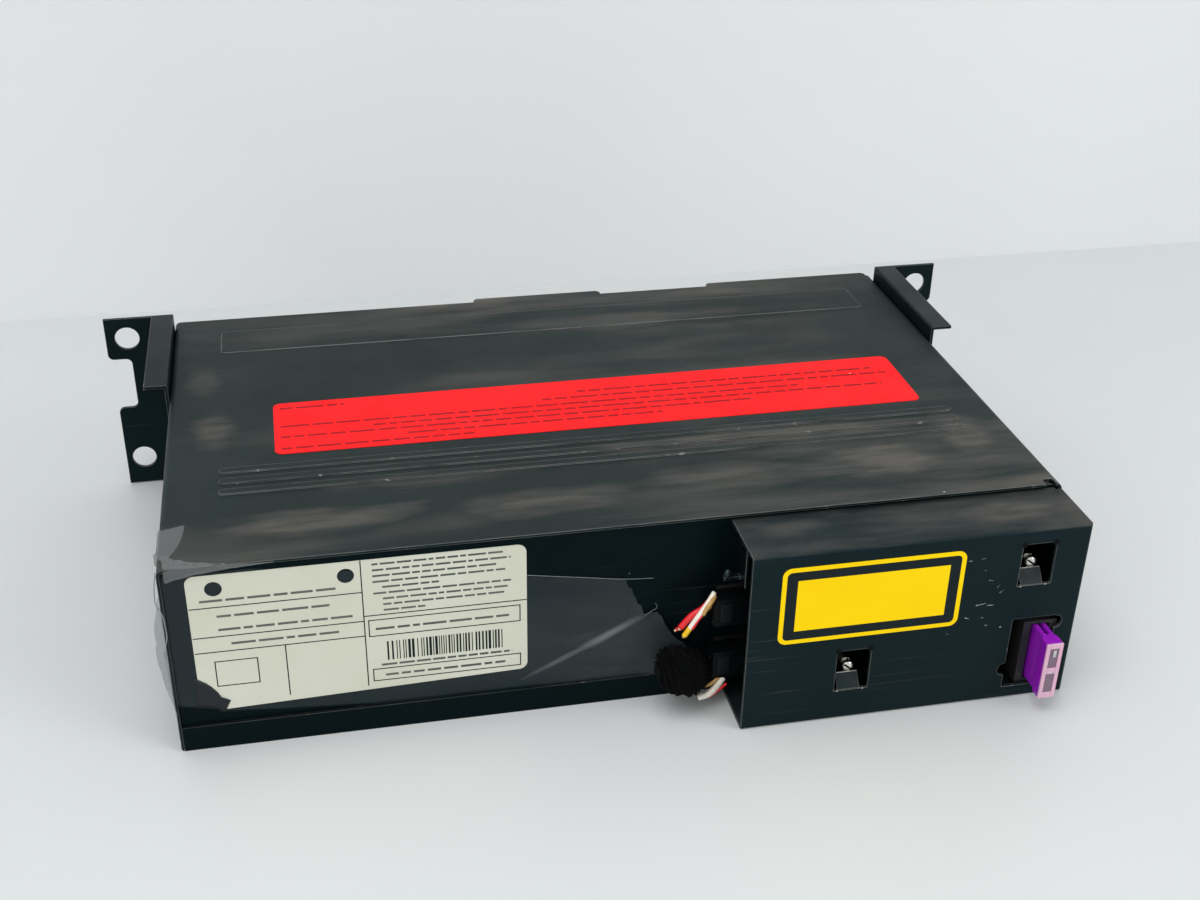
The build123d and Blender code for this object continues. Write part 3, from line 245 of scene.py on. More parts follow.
# ------------------------------------------------------------ floor pan, rear wall and top cover
# The case is bent sheet steel with black stove paint: a pan, a wall let in at the back, and a roof with two
# skirts screwed to the pan. Years in a boot left dry dust smears and fine scratches; the pale edges are
# partly worn paint and partly a painted highlight.
def soft_spot(material, place, middle, reach):
    """1 in the middle of an ellipsoid given in millimetres, ragged and fading to 0 at its edge."""
    scale = [1 / (half * mm) for half in reach]
    shift = [-centre / half for centre, half in zip(middle, reach)]
    near = node(material, "Mapping", {"Vector": place, "Scale": scale, "Location": shift}).outputs["Vector"]
    off = node(material, "VectorMath", {0: near}, operation="LENGTH").outputs["Value"]
    ragged = between(material, cloud(material, place, 130.0, 4.0, (0.35, 1, 1)), 0.2, 0.8, -0.35, 0.35)
    off = node(material, "Math", {0: off, 1: ragged}, operation="ADD").outputs["Value"]
    return between(material, off, 1.0, 0.35)


def pale_specks(material, place, share):
    """Tiny splashes of paint, a fifth of a millimetre across and far apart."""
    cells = node(material, "TexVoronoi", {"Vector": place, "Scale": 75.0})
    chosen = between(material, node(material, "SeparateColor", {0: cells.outputs["Color"]}).outputs["Red"],
            1 - share, 1.001 - share)
    return times(material, between(material, cells.outputs["Distance"], 0.024, 0.014), chosen)


def black_paint(name, tint, dust, scratches, wear_and_edge_highlight, smear=(9, 60, 60), rough=0.42, shine=0.1, smudges=()):
    """Black stove paint; dust, scratches and wear are amounts from 0 to 1. The wear amount pales the edges,
    partly as worn paint and partly as a painted highlight, and bares the chips.
    """
    material, shader, place = new_finish(name)
    deeper = tuple(part * 0.7 for part in tint)
    colour = blend_colour(material, patchy(material, place, 14.0, 4.0, 0.35, 0.65), deeper, tint)
    up = node(material, "SeparateXYZ", {0: node(material, "NewGeometry").outputs["Normal"]}).outputs["Z"]
    lying = between(material, up, 0.35, 0.8)
    streaks = cloud(material, place, 1.0, 7.0, smear, 0.62)
    fine = cloud(material, place, 1.0, 5.0, [part * 5 for part in smear], 0.6)
    broad = cloud(material, place, 10.0, 3.0, (0.6, 1.0, 1.0))
    dusty = times(material, between(material, streaks, 0.40, 0.70), between(material, broad, 0.40, 0.68))
    for middle, reach, strength in smudges:
        spot = times(material, soft_spot(material, place, middle, reach), strength)
        dusty = either(material, dusty, times(material, spot, between(material, fine, 0.25, 0.6, 0.3, 1.0)))
    dusty = times(material, times(material, either(material, dusty, 0.06), lying), dust)
    colour = blend_colour(material, dusty, colour, (0.125, 0.111, 0.097))
    hair = cloud(material, place, 1.0, 2.0, (22, 1500, 1500), 0.5)
    cross = cloud(material, place, 1.0, 2.0, (900, 60, 700), 0.5)
    marks = either(material, between(material, hair, 0.655, 0.72), between(material, cross, 0.76, 0.80))
    marks = times(material, marks, patchy(material, place, 26.0, 2.0, 0.42, 0.68))
    colour = blend_colour(material, times(material, marks, scratches), colour, (0.13, 0.126, 0.118))
    # The edges, found from the bevelled normal, are paled to grey: partly paint rubbed thin, partly a painted
    # highlight for the light on the rounded edges. The bare chips are real wear.
    rounded = node(material, "Bevel", {"Radius": 0.4 * mm}, samples=6).outputs["Normal"]
    flat = node(material, "NewGeometry").outputs["Normal"]
    edge = node(material, "VectorMath", {0: rounded, 1: flat}, operation="DOT_PRODUCT").outputs["Value"]
    edge = between(material, edge, 0.995, 0.90)
    worn_and_highlit_patches = patchy(material, place, 60.0, 4.0, 0.30, 0.55, 0.35, 1.0)
    colour = blend_colour(material, times(material, times(material, edge, worn_and_highlit_patches), wear_and_edge_highlight), colour,
            (0.155, 0.155, 0.145))
    chips = times(material, edge, patchy(material, place, 330.0, 5.0, 0.63, 0.69))
    specks = times(material, pale_specks(material, place, 0.2), 0.9)
    bare = either(material, times(material, chips, wear_and_edge_highlight), specks)
    colour = blend_colour(material, bare, colour, (0.48, 0.475, 0.455))
    gloss = patchy(material, place, 45.0, 5.0, 0.3, 0.7, rough - 0.07, rough + 0.08)
    gloss = blend_colour(material, dusty, gloss, (0.8, 0.8, 0.8))
    skin = relief(material, cloud(material, place, 1400.0, 2.0), 0.010, rounded)
    skin = relief(material, cloud(material, place, 50.0, 2.0), 0.07, skin)
    join(material, shader, Base_Color=colour, Roughness=gloss, Normal=skin, Specular_IOR_Level=shine,
         Specular_Tint=(0.55, 0.95, 1.0))
    return material


roof_level = 60.6
roof_smudges = [((x, y, roof_level), (half_x, half_y, 8), strength) for x, y, half_x, half_y, strength in (
    (-86, -62, 36, 9, 0.62), (-20, -63, 34, 9, 0.52), (34, -58, 30, 10, 0.5), (84, -56, 26, 15, 0.75),
    (112, -46, 12, 20, 0.6), (-114, -4, 9, 16, 0.45), (-118, 30, 8, 14, 0.3), (-92, 60, 26, 8, 0.3),
    (52, -36, 66, 7.5, 0.55), (-50, -44, 40, 5, 0.3), (40, 56, 50, 10, 0.22))]
roof_paint = black_paint("roof_paint", (0.0050, 0.0115, 0.0120), 0.95, 0.35, 1.0, rough=0.46, shine=0.13,
        smudges=roof_smudges)
wall_paint = black_paint("wall_paint", (0.0012, 0.0046, 0.0056), 0.3, 0.15, 0.35, rough=0.4, shine=0.07)
dress(roof_paint, "top_cover")
dress(wall_paint, "floor_pan", "rear_wall")


# ------------------------------------------------------------ rear shield and its latch posts
# A smaller steel cover with the same paint snaps over the plugs and the fuse. Two lanced tongues grip two
# turned steel posts, which show through the square windows. It is scratched most beside the fuse.
shield_top = 58.7
shield_face = -99.4
shield_smudges = [((x, y, shield_top), (half_x, half_y, 6), strength) for x, y, half_x, half_y, strength in (
    (108, -88, 22, 8, 0.7), (70, -90, 16, 6, 0.25), (44, -86, 14, 7, 0.4), (90, -82, 40, 3, 0.4))]
shield_paint = black_paint("shield_paint", (0.0042, 0.0105, 0.0125), 0.8, 0.25, 1.0, smear=(12, 60, 40),
        rough=0.44, shine=0.11, smudges=shield_smudges)
dress(shield_paint, "rear_shield")


def bright_metal(name, colour, rough, grain=(300, 300, 300), tarnish=0.3):
    """Plated or turned steel with light grain and dull patches."""
    material, shader, place = new_finish(name)
    lines = cloud(material, place, 1.0, 3.0, grain)
    patches = patchy(material, place, 60.0, 4.0, 0.45, 0.7)
    darker = tuple(part * (1 - tarnish) for part in colour)
    two_tone(material, shader, patches, colour, darker, Metallic=1.0,
         Roughness=between(material, lines, 0.3, 0.7, rough - 0.08, rough + 0.1),
         Normal=relief(material, lines, 0.006))
    return material


def put(form, verts, spot, axis="Y", degrees=0):
    """Turns vertices about the origin, then moves them to a spot in millimetres."""
    turn = Matrix.Rotation(math.radians(degrees), 3, axis)
    bmesh.ops.rotate(form, cent=(0, 0, 0), matrix=turn, verts=verts)
    bmesh.ops.translate(form, vec=Vector(spot) * mm, verts=verts)


def round_edges(form, offset, segments=2, edges=None):
    """Rounds edges, or all of them, by an offset in millimetres."""
    bmesh.ops.bevel(form, geom=edges or form.edges, offset=offset * mm, affect="EDGES", segments=segments,
            profile=0.5, material=-1)


turned_steel = bright_metal("turned_steel", (0.74, 0.72, 0.66), 0.3, (900, 90, 900), 0.15)
dress(turned_steel, "latch_posts")

# The posts' domed ends, each with a screwdriver slot drawn as a near-black bar laid across the dome's face:
# painted shade in place of the slot's recess.
# A near-black finish that paints the shade inside the slots and holes.
painted_shade_black, shader, place = new_finish("painted_shade_black")
two_tone(painted_shade_black, shader, cloud(painted_shade_black, place, 300.0),
        (0.0015, 0.0018, 0.002), (0.003, 0.0035, 0.004),
        Roughness=0.8, Specular_IOR_Level=0.1)
post_tip = -95.3
dome_radius = 1.75
slot_turn = 38
domes = bmesh.new()
slots_cut = bmesh.new()
for post_x, post_z in ((60.95, 15.6), (113.15, 45.5)):
    dome = bmesh.ops.create_uvsphere(domes, u_segments=28, v_segments=16, radius=dome_radius * mm)["verts"]
    bmesh.ops.scale(domes, vec=(1, 0.55, 1), verts=dome)
    put(domes, dome, (post_x, post_tip, post_z))
    cut = add_box(slots_cut, (-dome_radius * 0.85, -1.05, -0.26), (dome_radius * 0.85, -0.3, 0.26))
    put(slots_cut, cut, (post_x, post_tip, post_z), "Y", slot_turn)
new_piece("post_domes", domes, turned_steel, smooth=True)
new_piece("post_slot_shade", slots_cut, painted_shade_black)

# Punched relief holes at the windows' upper corners, drawn as near-black discs flush with the face that paint
# the shade inside the holes, and the sheared tongues' bright ends.
relief_radius = 0.95
holes = bmesh.new()
burrs = bmesh.new()
for left, low in ((55.7, 10.2), (107.9, 40.1)):
    for hole_x in (left + 0.35, left + 9.85):
        hole = bmesh.ops.create_cone(holes, cap_ends=True, segments=20, radius1=relief_radius * mm,
                radius2=relief_radius * mm, depth=0.3 * mm)["verts"]
        put(holes, hole, (hole_x, shield_face + 0.12, low + 14.0), "X", 90)
    for burr_x in (left + 0.75, left + 8.4):
        add_box(burrs, (burr_x, shield_face - 0.12, low - 0.35), (burr_x + 0.6, shield_face + 0.2, low + 0.1))
    add_box(burrs, (left + 1.5, shield_face + 3.08, low + 3.9), (left + 7.8, shield_face + 3.5, low + 4.12))
round_edges(burrs, 0.06, 1)
new_piece("window_relief_shade", holes, painted_shade_black)
worn_steel = bright_metal("worn_steel", (0.42, 0.42, 0.41), 0.42)
new_piece("tongue_burrs", burrs, worn_steel)

# Short white scratches left of the fuse, where its cover was prised off more than once.
scratch_finish, shader, place = new_finish("scratched_paint")
grazed = between(scratch_finish, cloud(scratch_finish, place, 900.0, 3.0), 0.35, 0.6)
two_tone(scratch_finish, shader, grazed, (0.05, 0.06, 0.062),
        (0.42, 0.43, 0.41), Roughness=0.6)
form = bmesh.new()
for x, z, length, tilt, width in (
        (97.6, 35.2, 3.0, 8, 0.34), (100.6, 34.6, 2.2, -4, 0.4), (94.0, 30.8, 1.6, -22, 0.22),
        (98.9, 30.4, 1.0, -12, 0.3), (100.3, 27.6, 0.9, 0, 0.3), (99.6, 43.2, 1.6, -14, 0.24),
        (96.4, 51.0, 1.5, 6, 0.26), (92.4, 50.6, 1.0, 2, 0.2), (103.4, 39.0, 1.4, 35, 0.24),
        (88.7, 26.0, 0.9, -8, 0.2), (102.2, 41.0, 1.2, 48, 0.2), (97.4, 46.8, 0.8, -30, 0.18)):
    graze = add_box(form, (-length / 2, -0.012, -width / 2), (length / 2, 0.05, width / 2))
    for vert in graze:
        if vert.co.x > 0:
            vert.co.z *= 0.25
    put(form, graze, (x, shield_face, z), "Y", -tilt)
new_piece("shield_grazes", form, scratch_finish)

# A bent wire hook and its rounded stop hold the shield's free left side; both are black and shiny with wear.
hook_finish = black_paint("hook_paint", (0.004, 0.005, 0.006), 0.2, 0.4, 0.8, rough=0.18, shine=0.5)
form = bmesh.new()
add_box(form, (30.2, -88.4, 41.5), (31.0, -78.3, 57.2))
add_box(form, (25.4, -84.2, 41.8), (30.4, -82.4, 43.0))
round_edges(form, 0.25)
knob = bmesh.ops.create_uvsphere(form, u_segments=24, v_segments=14, radius=1.25 * mm)["verts"]
put(form, knob, (26.6, -83.6, 44.2))
new_piece("shield_hook", form, hook_finish)


# ------------------------------------------------------------ side brackets and screws
# Two bent steel brackets screwed to the skirts carry the case by four bolts. Black paint, pale at the folds
# and round the holes, partly rubbed bare and partly a painted highlight. The screws are black zinc with a
# cross slot.
bracket_paint = black_paint("bracket_paint", (0.0026, 0.0062, 0.0074), 0.45, 0.3, 0.9, smear=(60, 12, 30),
        rough=0.38, shine=0.14)
dress(bracket_paint, "bracket_left", "bracket_right")
black_zinc = bright_metal("black_zinc", (0.075, 0.075, 0.08), 0.36, (500, 500, 500), 0.5)
dress(black_zinc, "bracket_screws", "cover_screws")


# ------------------------------------------------------------ labels
# Three stuck film labels: a long red one on the roof, a yellow one with a black band on the shield, and a
# torn cream one on the rear wall with two punched holes. They carry plain dashes, bars, rules and fields.
def label_film(name, colour, aged, rough, specks):
    """Printed film: a slightly uneven colour with rubbed specks and a thin gloss."""
    material, shader, place = new_finish(name)
    patches = patchy(material, place, 35.0, 4.0, 0.35, 0.7)
    tone = blend_colour(material, patches, colour, aged)
    rubbed = between(material, cloud(material, place, 420.0, 6.0, rough=0.7), 0.71, 0.74)
    rubbed = times(material, rubbed, patchy(material, place, 30.0, 2.0, 0.5, 0.6))
    spots = either(material, rubbed, pale_specks(material, place, 0.3))
    tone = blend_colour(material, times(material, spots, specks), tone, (0.66, 0.60, 0.57))
    waves = cloud(material, place, 60.0, 2.0)
    join(material, shader, Base_Color=tone, Normal=relief(material, waves, 0.03),
         Roughness=patchy(material, place, 90.0, 4.0, 0.3, 0.7, rough - 0.06, rough + 0.08),
         Specular_IOR_Level=0.1)
    return material


red_film = label_film("red_film", (0.84, 0.008, 0.010), (0.78, 0.008, 0.010), 0.55, 0.9)
yellow_film = label_film("yellow_film", (0.93, 0.63, 0.0), (0.88, 0.58, 0.0), 0.5, 0.1)
cream_film = label_film("cream_film", (0.60, 0.605, 0.51), (0.55, 0.55, 0.44), 0.5, 0.1)
black_ink = label_film("black_ink", (0.006, 0.012, 0.014), (0.009, 0.015, 0.017), 0.5, 0.15)
red_ink = label_film("red_ink", (0.22, 0.005, 0.008), (0.34, 0.006, 0.009), 0.55, 0.1)
dress(red_film, "red_label")
dress(yellow_film, "yellow_label")
dress(cream_film, "rating_label")
ink_height = 0.02
rule = 0.32
dash_height = 0.03
sunk = 0.01

# Rows of plain dashes on the red film, worn and uneven.
red_low, red_high = (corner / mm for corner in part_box("red_label"))


def row_of_dashes(form, left, right, low, tall, longest, spot):
    """Dashes of uneven length with small gaps, from left to right; spot turns a place into a corner."""
    at = left
    while at < right:
        run = min(worn_print.uniform(0.25, 1.0) * longest, right - at)
        add_box(form, spot(at, low, 0), spot(at + run, low + tall, dash_height))
        at += run + longest * 0.12


worn_print = random.Random(8)
form = bmesh.new()
for up, left, right in ((28.6, 2, 22), (24.4, 96, 196), (20.6, 84, 200), (16.6, 2, 168), (13.2, 30, 196),
        (9.8, 2, 150), (6.2, 40, 120), (2.6, 2, 60)):
    row_of_dashes(form, left, right, up, 1.05, 9.0,
            lambda x, y, z: (red_low.x + x, red_low.y + y, red_high.z - sunk + z))
new_piece("red_print", form, red_ink)

# A black band inside a thin yellow rim, round a bare yellow field.
yellow_low, yellow_high = (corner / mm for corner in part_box("yellow_label"))
rim = 1.35
band = 3.2
form = bmesh.new()
outer_x0, outer_z0 = yellow_low.x + rim, yellow_low.z + rim
outer_x1, outer_z1 = yellow_high.x - rim, yellow_high.z - rim
face_y = yellow_low.y - ink_height
add_box(form, (outer_x0, face_y, outer_z0), (outer_x1, yellow_low.y + sunk, outer_z1))
upright = [edge for edge in form.edges if abs(edge.verts[0].co.y - edge.verts[1].co.y) > 0.01 * mm]
round_edges(form, 1.4, 6, upright)
new_piece("yellow_label_band", form, black_ink)
form = bmesh.new()
add_box(form, (outer_x0 + band, face_y - ink_height, outer_z0 + band * 0.9),
        (outer_x1 - band, face_y + 0.005, outer_z1 - band * 0.9))
new_piece("yellow_label_field", form, yellow_film)

# Thin rules and empty fields on the cream film, with a plain comb of bars.
cream_low, _ = (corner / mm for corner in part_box("rating_label"))
case_left = -128.5
form = bmesh.new()
face_y = cream_low.y - ink_height


def ink_line(x0, z0, x1, z1):
    """A rule from one point to another, measured from the case's left side and underside."""
    low = (case_left + min(x0, x1) - rule / 2, face_y, min(z0, z1) - rule / 2)
    high = (case_left + max(x0, x1) + rule / 2, cream_low.y + sunk, max(z0, z1) + rule / 2)
    add_box(form, low, high)


def ink_frame(x0, z0, x1, z1):
    """An empty field."""
    for a, b, c, d in ((x0, z0, x1, z0), (x0, z1, x1, z1), (x0, z0, x0, z1), (x1, z0, x1, z1)):
        ink_line(a, b, c, d)


ink_line(53.0, 57.0, 53.0, 15.1)
for level in (46.8, 37.2, 32.2):
    ink_line(7.2, level, 53.0, level)
ink_line(31.2, 32.2, 31.2, 15.1)
ink_line(53.0, 38.8, 98.2, 38.8)
ink_frame(12.0, 20.6, 23.4, 28.9)
ink_frame(54.2, 31.8, 96.4, 37.2)
ink_frame(54.6, 16.4, 96.4, 20.4)
bars = random.Random(5)
bar_at, bars_end = 58.8, 92.0
bar_foot, bar_top = 23.2, 29.6
while bar_at < bars_end:
    width = bars.choice((0.28, 0.28, 0.5, 0.7))
    add_box(form, (case_left + bar_at, face_y, bar_foot),
            (case_left + bar_at + width, cream_low.y + sunk, bar_top))
    bar_at += width + bars.choice((0.35, 0.5, 0.8))
new_piece("cream_rules", form, black_ink)
grey_ink = label_film("grey_ink", (0.075, 0.08, 0.075), (0.14, 0.145, 0.13), 0.5, 0.1)
form = bmesh.new()
for tall, longest, lines in (
        (0.62, 5.0, ((55.2, 56.0, 92.0), (53.3, 56.0, 94.0), (51.4, 56.0, 90.0), (49.5, 56.0, 93.0),
                (47.6, 58.5, 74.0), (45.7, 56.0, 94.0), (43.8, 58.5, 93.0), (41.9, 58.5, 92.0),
                (40.0, 58.5, 70.0))),
        (0.75, 7.0, ((48.6, 10.0, 46.0), (43.4, 14.0, 44.0), (39.0, 14.0, 50.0), (34.2, 17.0, 46.0),
                (33.8, 56.0, 94.0))),
        (0.7, 5.0, ((21.4, 57.0, 94.0),)), (0.75, 7.0, ((17.8, 58.0, 92.0),))):
    for level, left, right in lines:
        row_of_dashes(form, left, right, level, tall, longest,
                lambda x, z, y: (case_left + x, cream_low.y + sunk - y, z))
new_piece("cream_print", form, grey_ink)


# ------------------------------------------------------------ clear tape over the left rear corner
# Wide clear packing tape was stuck over the rear wall and round its left corner to hold the torn label. It
# is hazy with age, creased, crumpled at the corner, torn off ragged near the plugs and lifts there.
def hazy_film(name, dull, hazy_and_glint_tone, cover, rough, creases):
    """Clear film over black; cover is how much of what lies under it is hidden."""
    material, shader, place = new_finish(name)
    streaks = cloud(material, place, 1.0, 6.0, (16, 30, 52), 0.6)
    right = node(material, "SeparateXYZ", {0: place}).outputs["X"]
    # The second tone is the film's haze; on the crumpled film its pale value is a painted highlight for the
    # glints on the folds.
    haze_and_glint = times(material, between(material, streaks, 0.34, 0.66),
            between(material, right, -0.075, -0.015, 0.12, 1.0))
    colour = blend_colour(material, haze_and_glint, dull, hazy_and_glint_tone)
    # Two soft bands along the creases are paled to grey: painted highlights where the folds catch the light.
    turned = node(material, "Mapping", {"Vector": place, "Rotation": (0, math.radians(26.6), 0)})
    along = turned.outputs["Vector"]
    sharp = times(material, soft_spot(material, along, (6.0, -78.5, 24.1), (13, 6, 1.7)), 0.75)
    faint = times(material, soft_spot(material, along, (-10.0, -78.5, 24.0), (16, 6, 1.1)), 0.4)
    crease = either(material, sharp, faint)
    colour = blend_colour(material, crease, colour, (0.19, 0.21, 0.21))
    spots = pale_specks(material, place, 0.5)
    colour = blend_colour(material, spots, colour, (0.5, 0.5, 0.48))
    join(material, shader, Base_Color=colour, Alpha=cover, Specular_IOR_Level=0.3,
         Roughness=between(material, streaks, 0.3, 0.7, rough, rough + 0.2),
         Normal=relief(material, cloud(material, place, 1.0, 5.0, (90, 200, 200)), creases))
    return material


def ripple(x, y, z):
    return noise.noise(Vector((x, y, z)))


def thicken(form, thickness=0.04):
    """Gives a sheet its thickness in millimetres."""
    bmesh.ops.recalc_face_normals(form, faces=form.faces)
    bmesh.ops.solidify(form, geom=form.faces, thickness=thickness * mm)


def along_steps(steps, at):
    """The height at a place along a line of points in order."""
    for (x0, z0), (x1, z1) in zip(steps, steps[1:]):
        if at <= x1:
            return z0 + (z1 - z0) * max(0.0, (at - x0) / (x1 - x0))
    return steps[-1][1]


tape_film = hazy_film("tape_film", (0.005, 0.013, 0.016), (0.030, 0.041, 0.044), 0.86, 0.26, 0.14)
wall_face = -78.25
tape_top = ((-128.4, 58.0), (-104.0, 58.0), (-30.0, 46.9), (-1.8, 42.2), (-1.2, 40.6), (-0.9, 39.2),
            (0.2, 38.6), (0.4, 36.2), (1.6, 35.6), (1.9, 33.4), (3.0, 32.6), (3.9, 29.6), (4.4, 29.0),
            (5.7, 30.3), (7.6, 30.0), (9.3, 28.4), (9.7, 26.3), (11.0, 23.9), (12.5, 21.6), (14.2, 19.9),
            (16.6, 17.7), (18.6, 15.9), (20.8, 13.6), (22.2, 11.0))
tape_foot = ((-128.4, 15.1), (-124.8, 14.3), (-118.1, 12.9), (-116.4, 11.5), (-100.0, 9.9), (-81.2, 8.4),
        (-72.0, 7.4), (-56.0, 3.2), (-42.0, 0.9), (9.4, 0.9), (9.8, 7.7), (11.0, 11.0), (22.2, 10.2))
tape_left, tape_right = -128.4, 22.2
form = bmesh.new()
columns, rows = 260, 44
bmesh.ops.create_grid(form, x_segments=columns, y_segments=rows, size=1)
frayed = random.Random(3)
jitter = [frayed.uniform(-0.28, 0.28) for _ in range(columns + 1)]
for vert in form.verts:
    share = (vert.co.x + 1) / 2
    x = tape_left + (tape_right - tape_left) * share
    top, foot = along_steps(tape_top, x), along_steps(tape_foot, x)
    if x > -2.0:
        top += jitter[round(share * columns)]
    z = foot + (top - foot) * (vert.co.y + 1) / 2
    crease = 17.0 + (x + 20.6) * 0.5
    ridge = 0.42 * math.exp(-((z - crease) / 0.8) ** 2) * min(1.0, max(0.0, (x + 34) / 22))
    lower = 0.22 * math.exp(-((z - (7.3 + 0.5 * ripple(x * 0.11, 0, 0))) / 0.45) ** 2)
    wrinkle = 0.16 * ripple(x * 0.07, 3.0, z * 0.16) + 0.05 * ripple(x * 0.3, 7.0, z * 0.5)
    clear_of_label = min(1.0, max(0.0, (x + 29.0) / 5)) if x > -60 else 0.0
    lift = 2.6 * max(0.0, (x - 3.0) / 19) ** 1.3
    out = 0.06 + clear_of_label * (ridge + 0.10 + wrinkle) + (lower if x > -46 else 0.0) + lift
    vert.co = Vector((x, wall_face - max(0.03, out), z)) * mm
thicken(form)
new_piece("clear_tape", form, tape_film, smooth=True)

# The film's upper edge and its two fold lines catch the light: thin pale wires painted as highlights.
film_edge_highlight, shader, place = new_finish("film_edge_highlight")
two_tone(film_edge_highlight, shader, cloud(film_edge_highlight, place, 500.0), (0.10, 0.115, 0.12),
        (0.30, 0.32, 0.32), Roughness=0.25, Specular_IOR_Level=0.7)


def run_of_wire(name, points, radius, finish):
    """A wire along a smooth line through points in millimetres."""
    line = bpy.data.curves.new(name, "CURVE")
    line.dimensions = "3D"
    line.bevel_depth = radius * mm
    line.bevel_resolution = 4
    line.use_fill_caps = True
    line.resolution_u = 8
    spline = line.splines.new("BEZIER")
    spline.bezier_points.add(len(points) - 1)
    for knot, point in zip(spline.bezier_points, points):
        knot.co = [part * mm for part in point]
        knot.handle_left_type = knot.handle_right_type = "AUTO"
    shape = bpy.data.objects.new(name + "_line", line)
    in_scene.link(shape)
    bpy.context.view_layer.update()
    mesh = bpy.data.meshes.new_from_object(shape.evaluated_get(bpy.context.evaluated_depsgraph_get()))
    bpy.data.objects.remove(shape)
    bpy.data.curves.remove(line)
    form = bmesh.new()
    form.from_mesh(mesh)
    bmesh.ops.remove_doubles(form, verts=form.verts, dist=0.00001)
    bmesh.ops.recalc_face_normals(form, faces=form.faces)
    return new_piece(name, form, finish, smooth=True)


for name, radius, points in (
        ("tape_upper_edge", 0.07, ((-30.0, -78.42, 46.9), (-12, -78.5, 43.9), (-1.8, -78.5, 42.2),
                (6.5, -78.4, 41.5))),
        ("tape_corner_edge", 0.16, ((-128.5, -79.5, 60.2), (-129.3, -79.6, 55.0), (-129.4, -79.6, 50.0),
                (-128.3, -79.5, 47.0), (-127.9, -79.5, 42.0), (-127.9, -79.5, 39.5),
                (-128.6, -79.6, 36.5), (-129.2, -79.6, 33.5), (-128.8, -79.5, 25.0),
                (-128.6, -79.5, 16.0), (-128.4, -79.4, 12.5))),
        ("tape_torn_edge", 0.06, ((4.2, -78.7, 29.3), (6.0, -79.0, 30.6), (7.4, -79.3, 31.8),
                (7.0, -79.2, 33.4)))):
    run_of_wire(name, points, radius, film_edge_highlight)

# A flap of the tape that came away with the label's torn corner, dark with dirt on its sticky side.
flap_finish = hazy_film("dirty_flap", (0.006, 0.009, 0.012), (0.02, 0.024, 0.028), 1.0, 0.3, 0.5)
form = bmesh.new()
outline = ((-122.6, 24.6), (-121.5, 23.6), (-119.6, 22.2), (-118.2, 20.7), (-116.9, 18.9), (-115.9, 16.9),
           (-114.6, 16.2), (-113.5, 15.4), (-114.3, 14.0), (-115.0, 12.6), (-115.7, 11.6), (-117.0, 12.6),
           (-119.4, 13.4), (-122.6, 14.2))
face = form.faces.new([form.verts.new(Vector((x, -78.44, z)) * mm) for x, z in outline])
bmesh.ops.triangulate(form, faces=[face])
bmesh.ops.subdivide_edges(form, edges=form.edges, cuts=3, use_grid_fill=True)
for vert in form.verts:
    vert.co.y -= (0.12 + 0.28 * noise.noise(vert.co * 420)) * mm
thicken(form, 0.05)
new_piece("torn_flap", form, flap_finish, smooth=True)

# The tape's patch on the roof's edge, the crumple round the corner and the loose fold beside the case.
patch_finish = hazy_film("roof_film", (0.125, 0.130, 0.130), (0.165, 0.170, 0.168), 0.55, 0.3, 0.05)
# The crumpled film's pale second tone paints the glints on its folds as colour: a painted highlight.
crumple_finish = hazy_film("crumpled_film", (0.12, 0.13, 0.13), (0.62, 0.64, 0.62), 0.55, 0.06, 1.6)
form = bmesh.new()
outline = ((-128.6, -59.4), (-121.6, -57.5), (-121.7, -61.0), (-122.6, -66.6), (-124.4, -71.6),
           (-126.0, -74.9), (-127.0, -73.6), (-128.6, -71.0))
face = form.faces.new([form.verts.new(Vector((x, y, roof_level + 0.06)) * mm) for x, y in outline])
bmesh.ops.triangulate(form, faces=[face])
thicken(form)
new_piece("roof_tape", form, patch_finish)

crumple_line = (Vector((-128.6, -70.5, 60.9)), Vector((-126.6, -74.8, 61.2)), Vector((-123.6, -77.2, 61.3)),
        Vector((-119.0, -78.4, 61.1)), Vector((-112.0, -79.2, 60.8)), Vector((-104.0, -79.4, 60.5)),
        Vector((-98.0, -79.4, 60.3)))
crumple_width = (4.6, 5.6, 4.6, 3.4, 2.0, 1.0, 0.3)
form = bmesh.new()
bmesh.ops.create_grid(form, x_segments=130, y_segments=26, size=1)
for vert in form.verts:
    run = (vert.co.x + 1) / 2 * (len(crumple_line) - 1)
    step = min(int(run), len(crumple_line) - 2)
    middle = crumple_line[step].lerp(crumple_line[step + 1], run - step)
    width = crumple_width[step] + (crumple_width[step + 1] - crumple_width[step]) * (run - step)
    over = vert.co.y * width
    fold = ripple(middle.x * 0.6, over * 0.8, 4.0)
    fold += 0.5 * abs(ripple(middle.x * 1.4, over * 1.6, 9.0))
    spot = middle + Vector((0, 0.45 * -over if over < 0 else 0.0, -abs(over) * 0.9 if over > 0 else -0.25))
    if over > 0:
        spot.y = min(spot.y, -79.35) if run > 1.0 else spot.y
        spot.x -= 0.5 * max(0.0, 1.6 - run)
    spot += Vector((0.1, -0.25, 0.45)) * fold * min(1.0, width / 3)
    vert.co = spot * mm
smoothings = 4
for _ in range(smoothings):
    bmesh.ops.smooth_vert(form, verts=form.verts, factor=0.5, use_axis_x=True, use_axis_y=True,
            use_axis_z=True)
bmesh.ops.recalc_face_normals(form, faces=form.faces)
skin = bmesh.ops.duplicate(form, geom=form.faces[:])["geom"]
for vert in [part for part in skin if isinstance(part, bmesh.types.BMVert)]:
    vert.co += Vector((-0.01, -0.03, 0.03)) * mm
bmesh.ops.reverse_faces(form, faces=[part for part in skin if isinstance(part, bmesh.types.BMFace)])
bmesh.ops.bridge_loops(form, edges=[edge for edge in form.edges if edge.is_boundary])
new_piece("corner_crumple", form, crumple_finish)

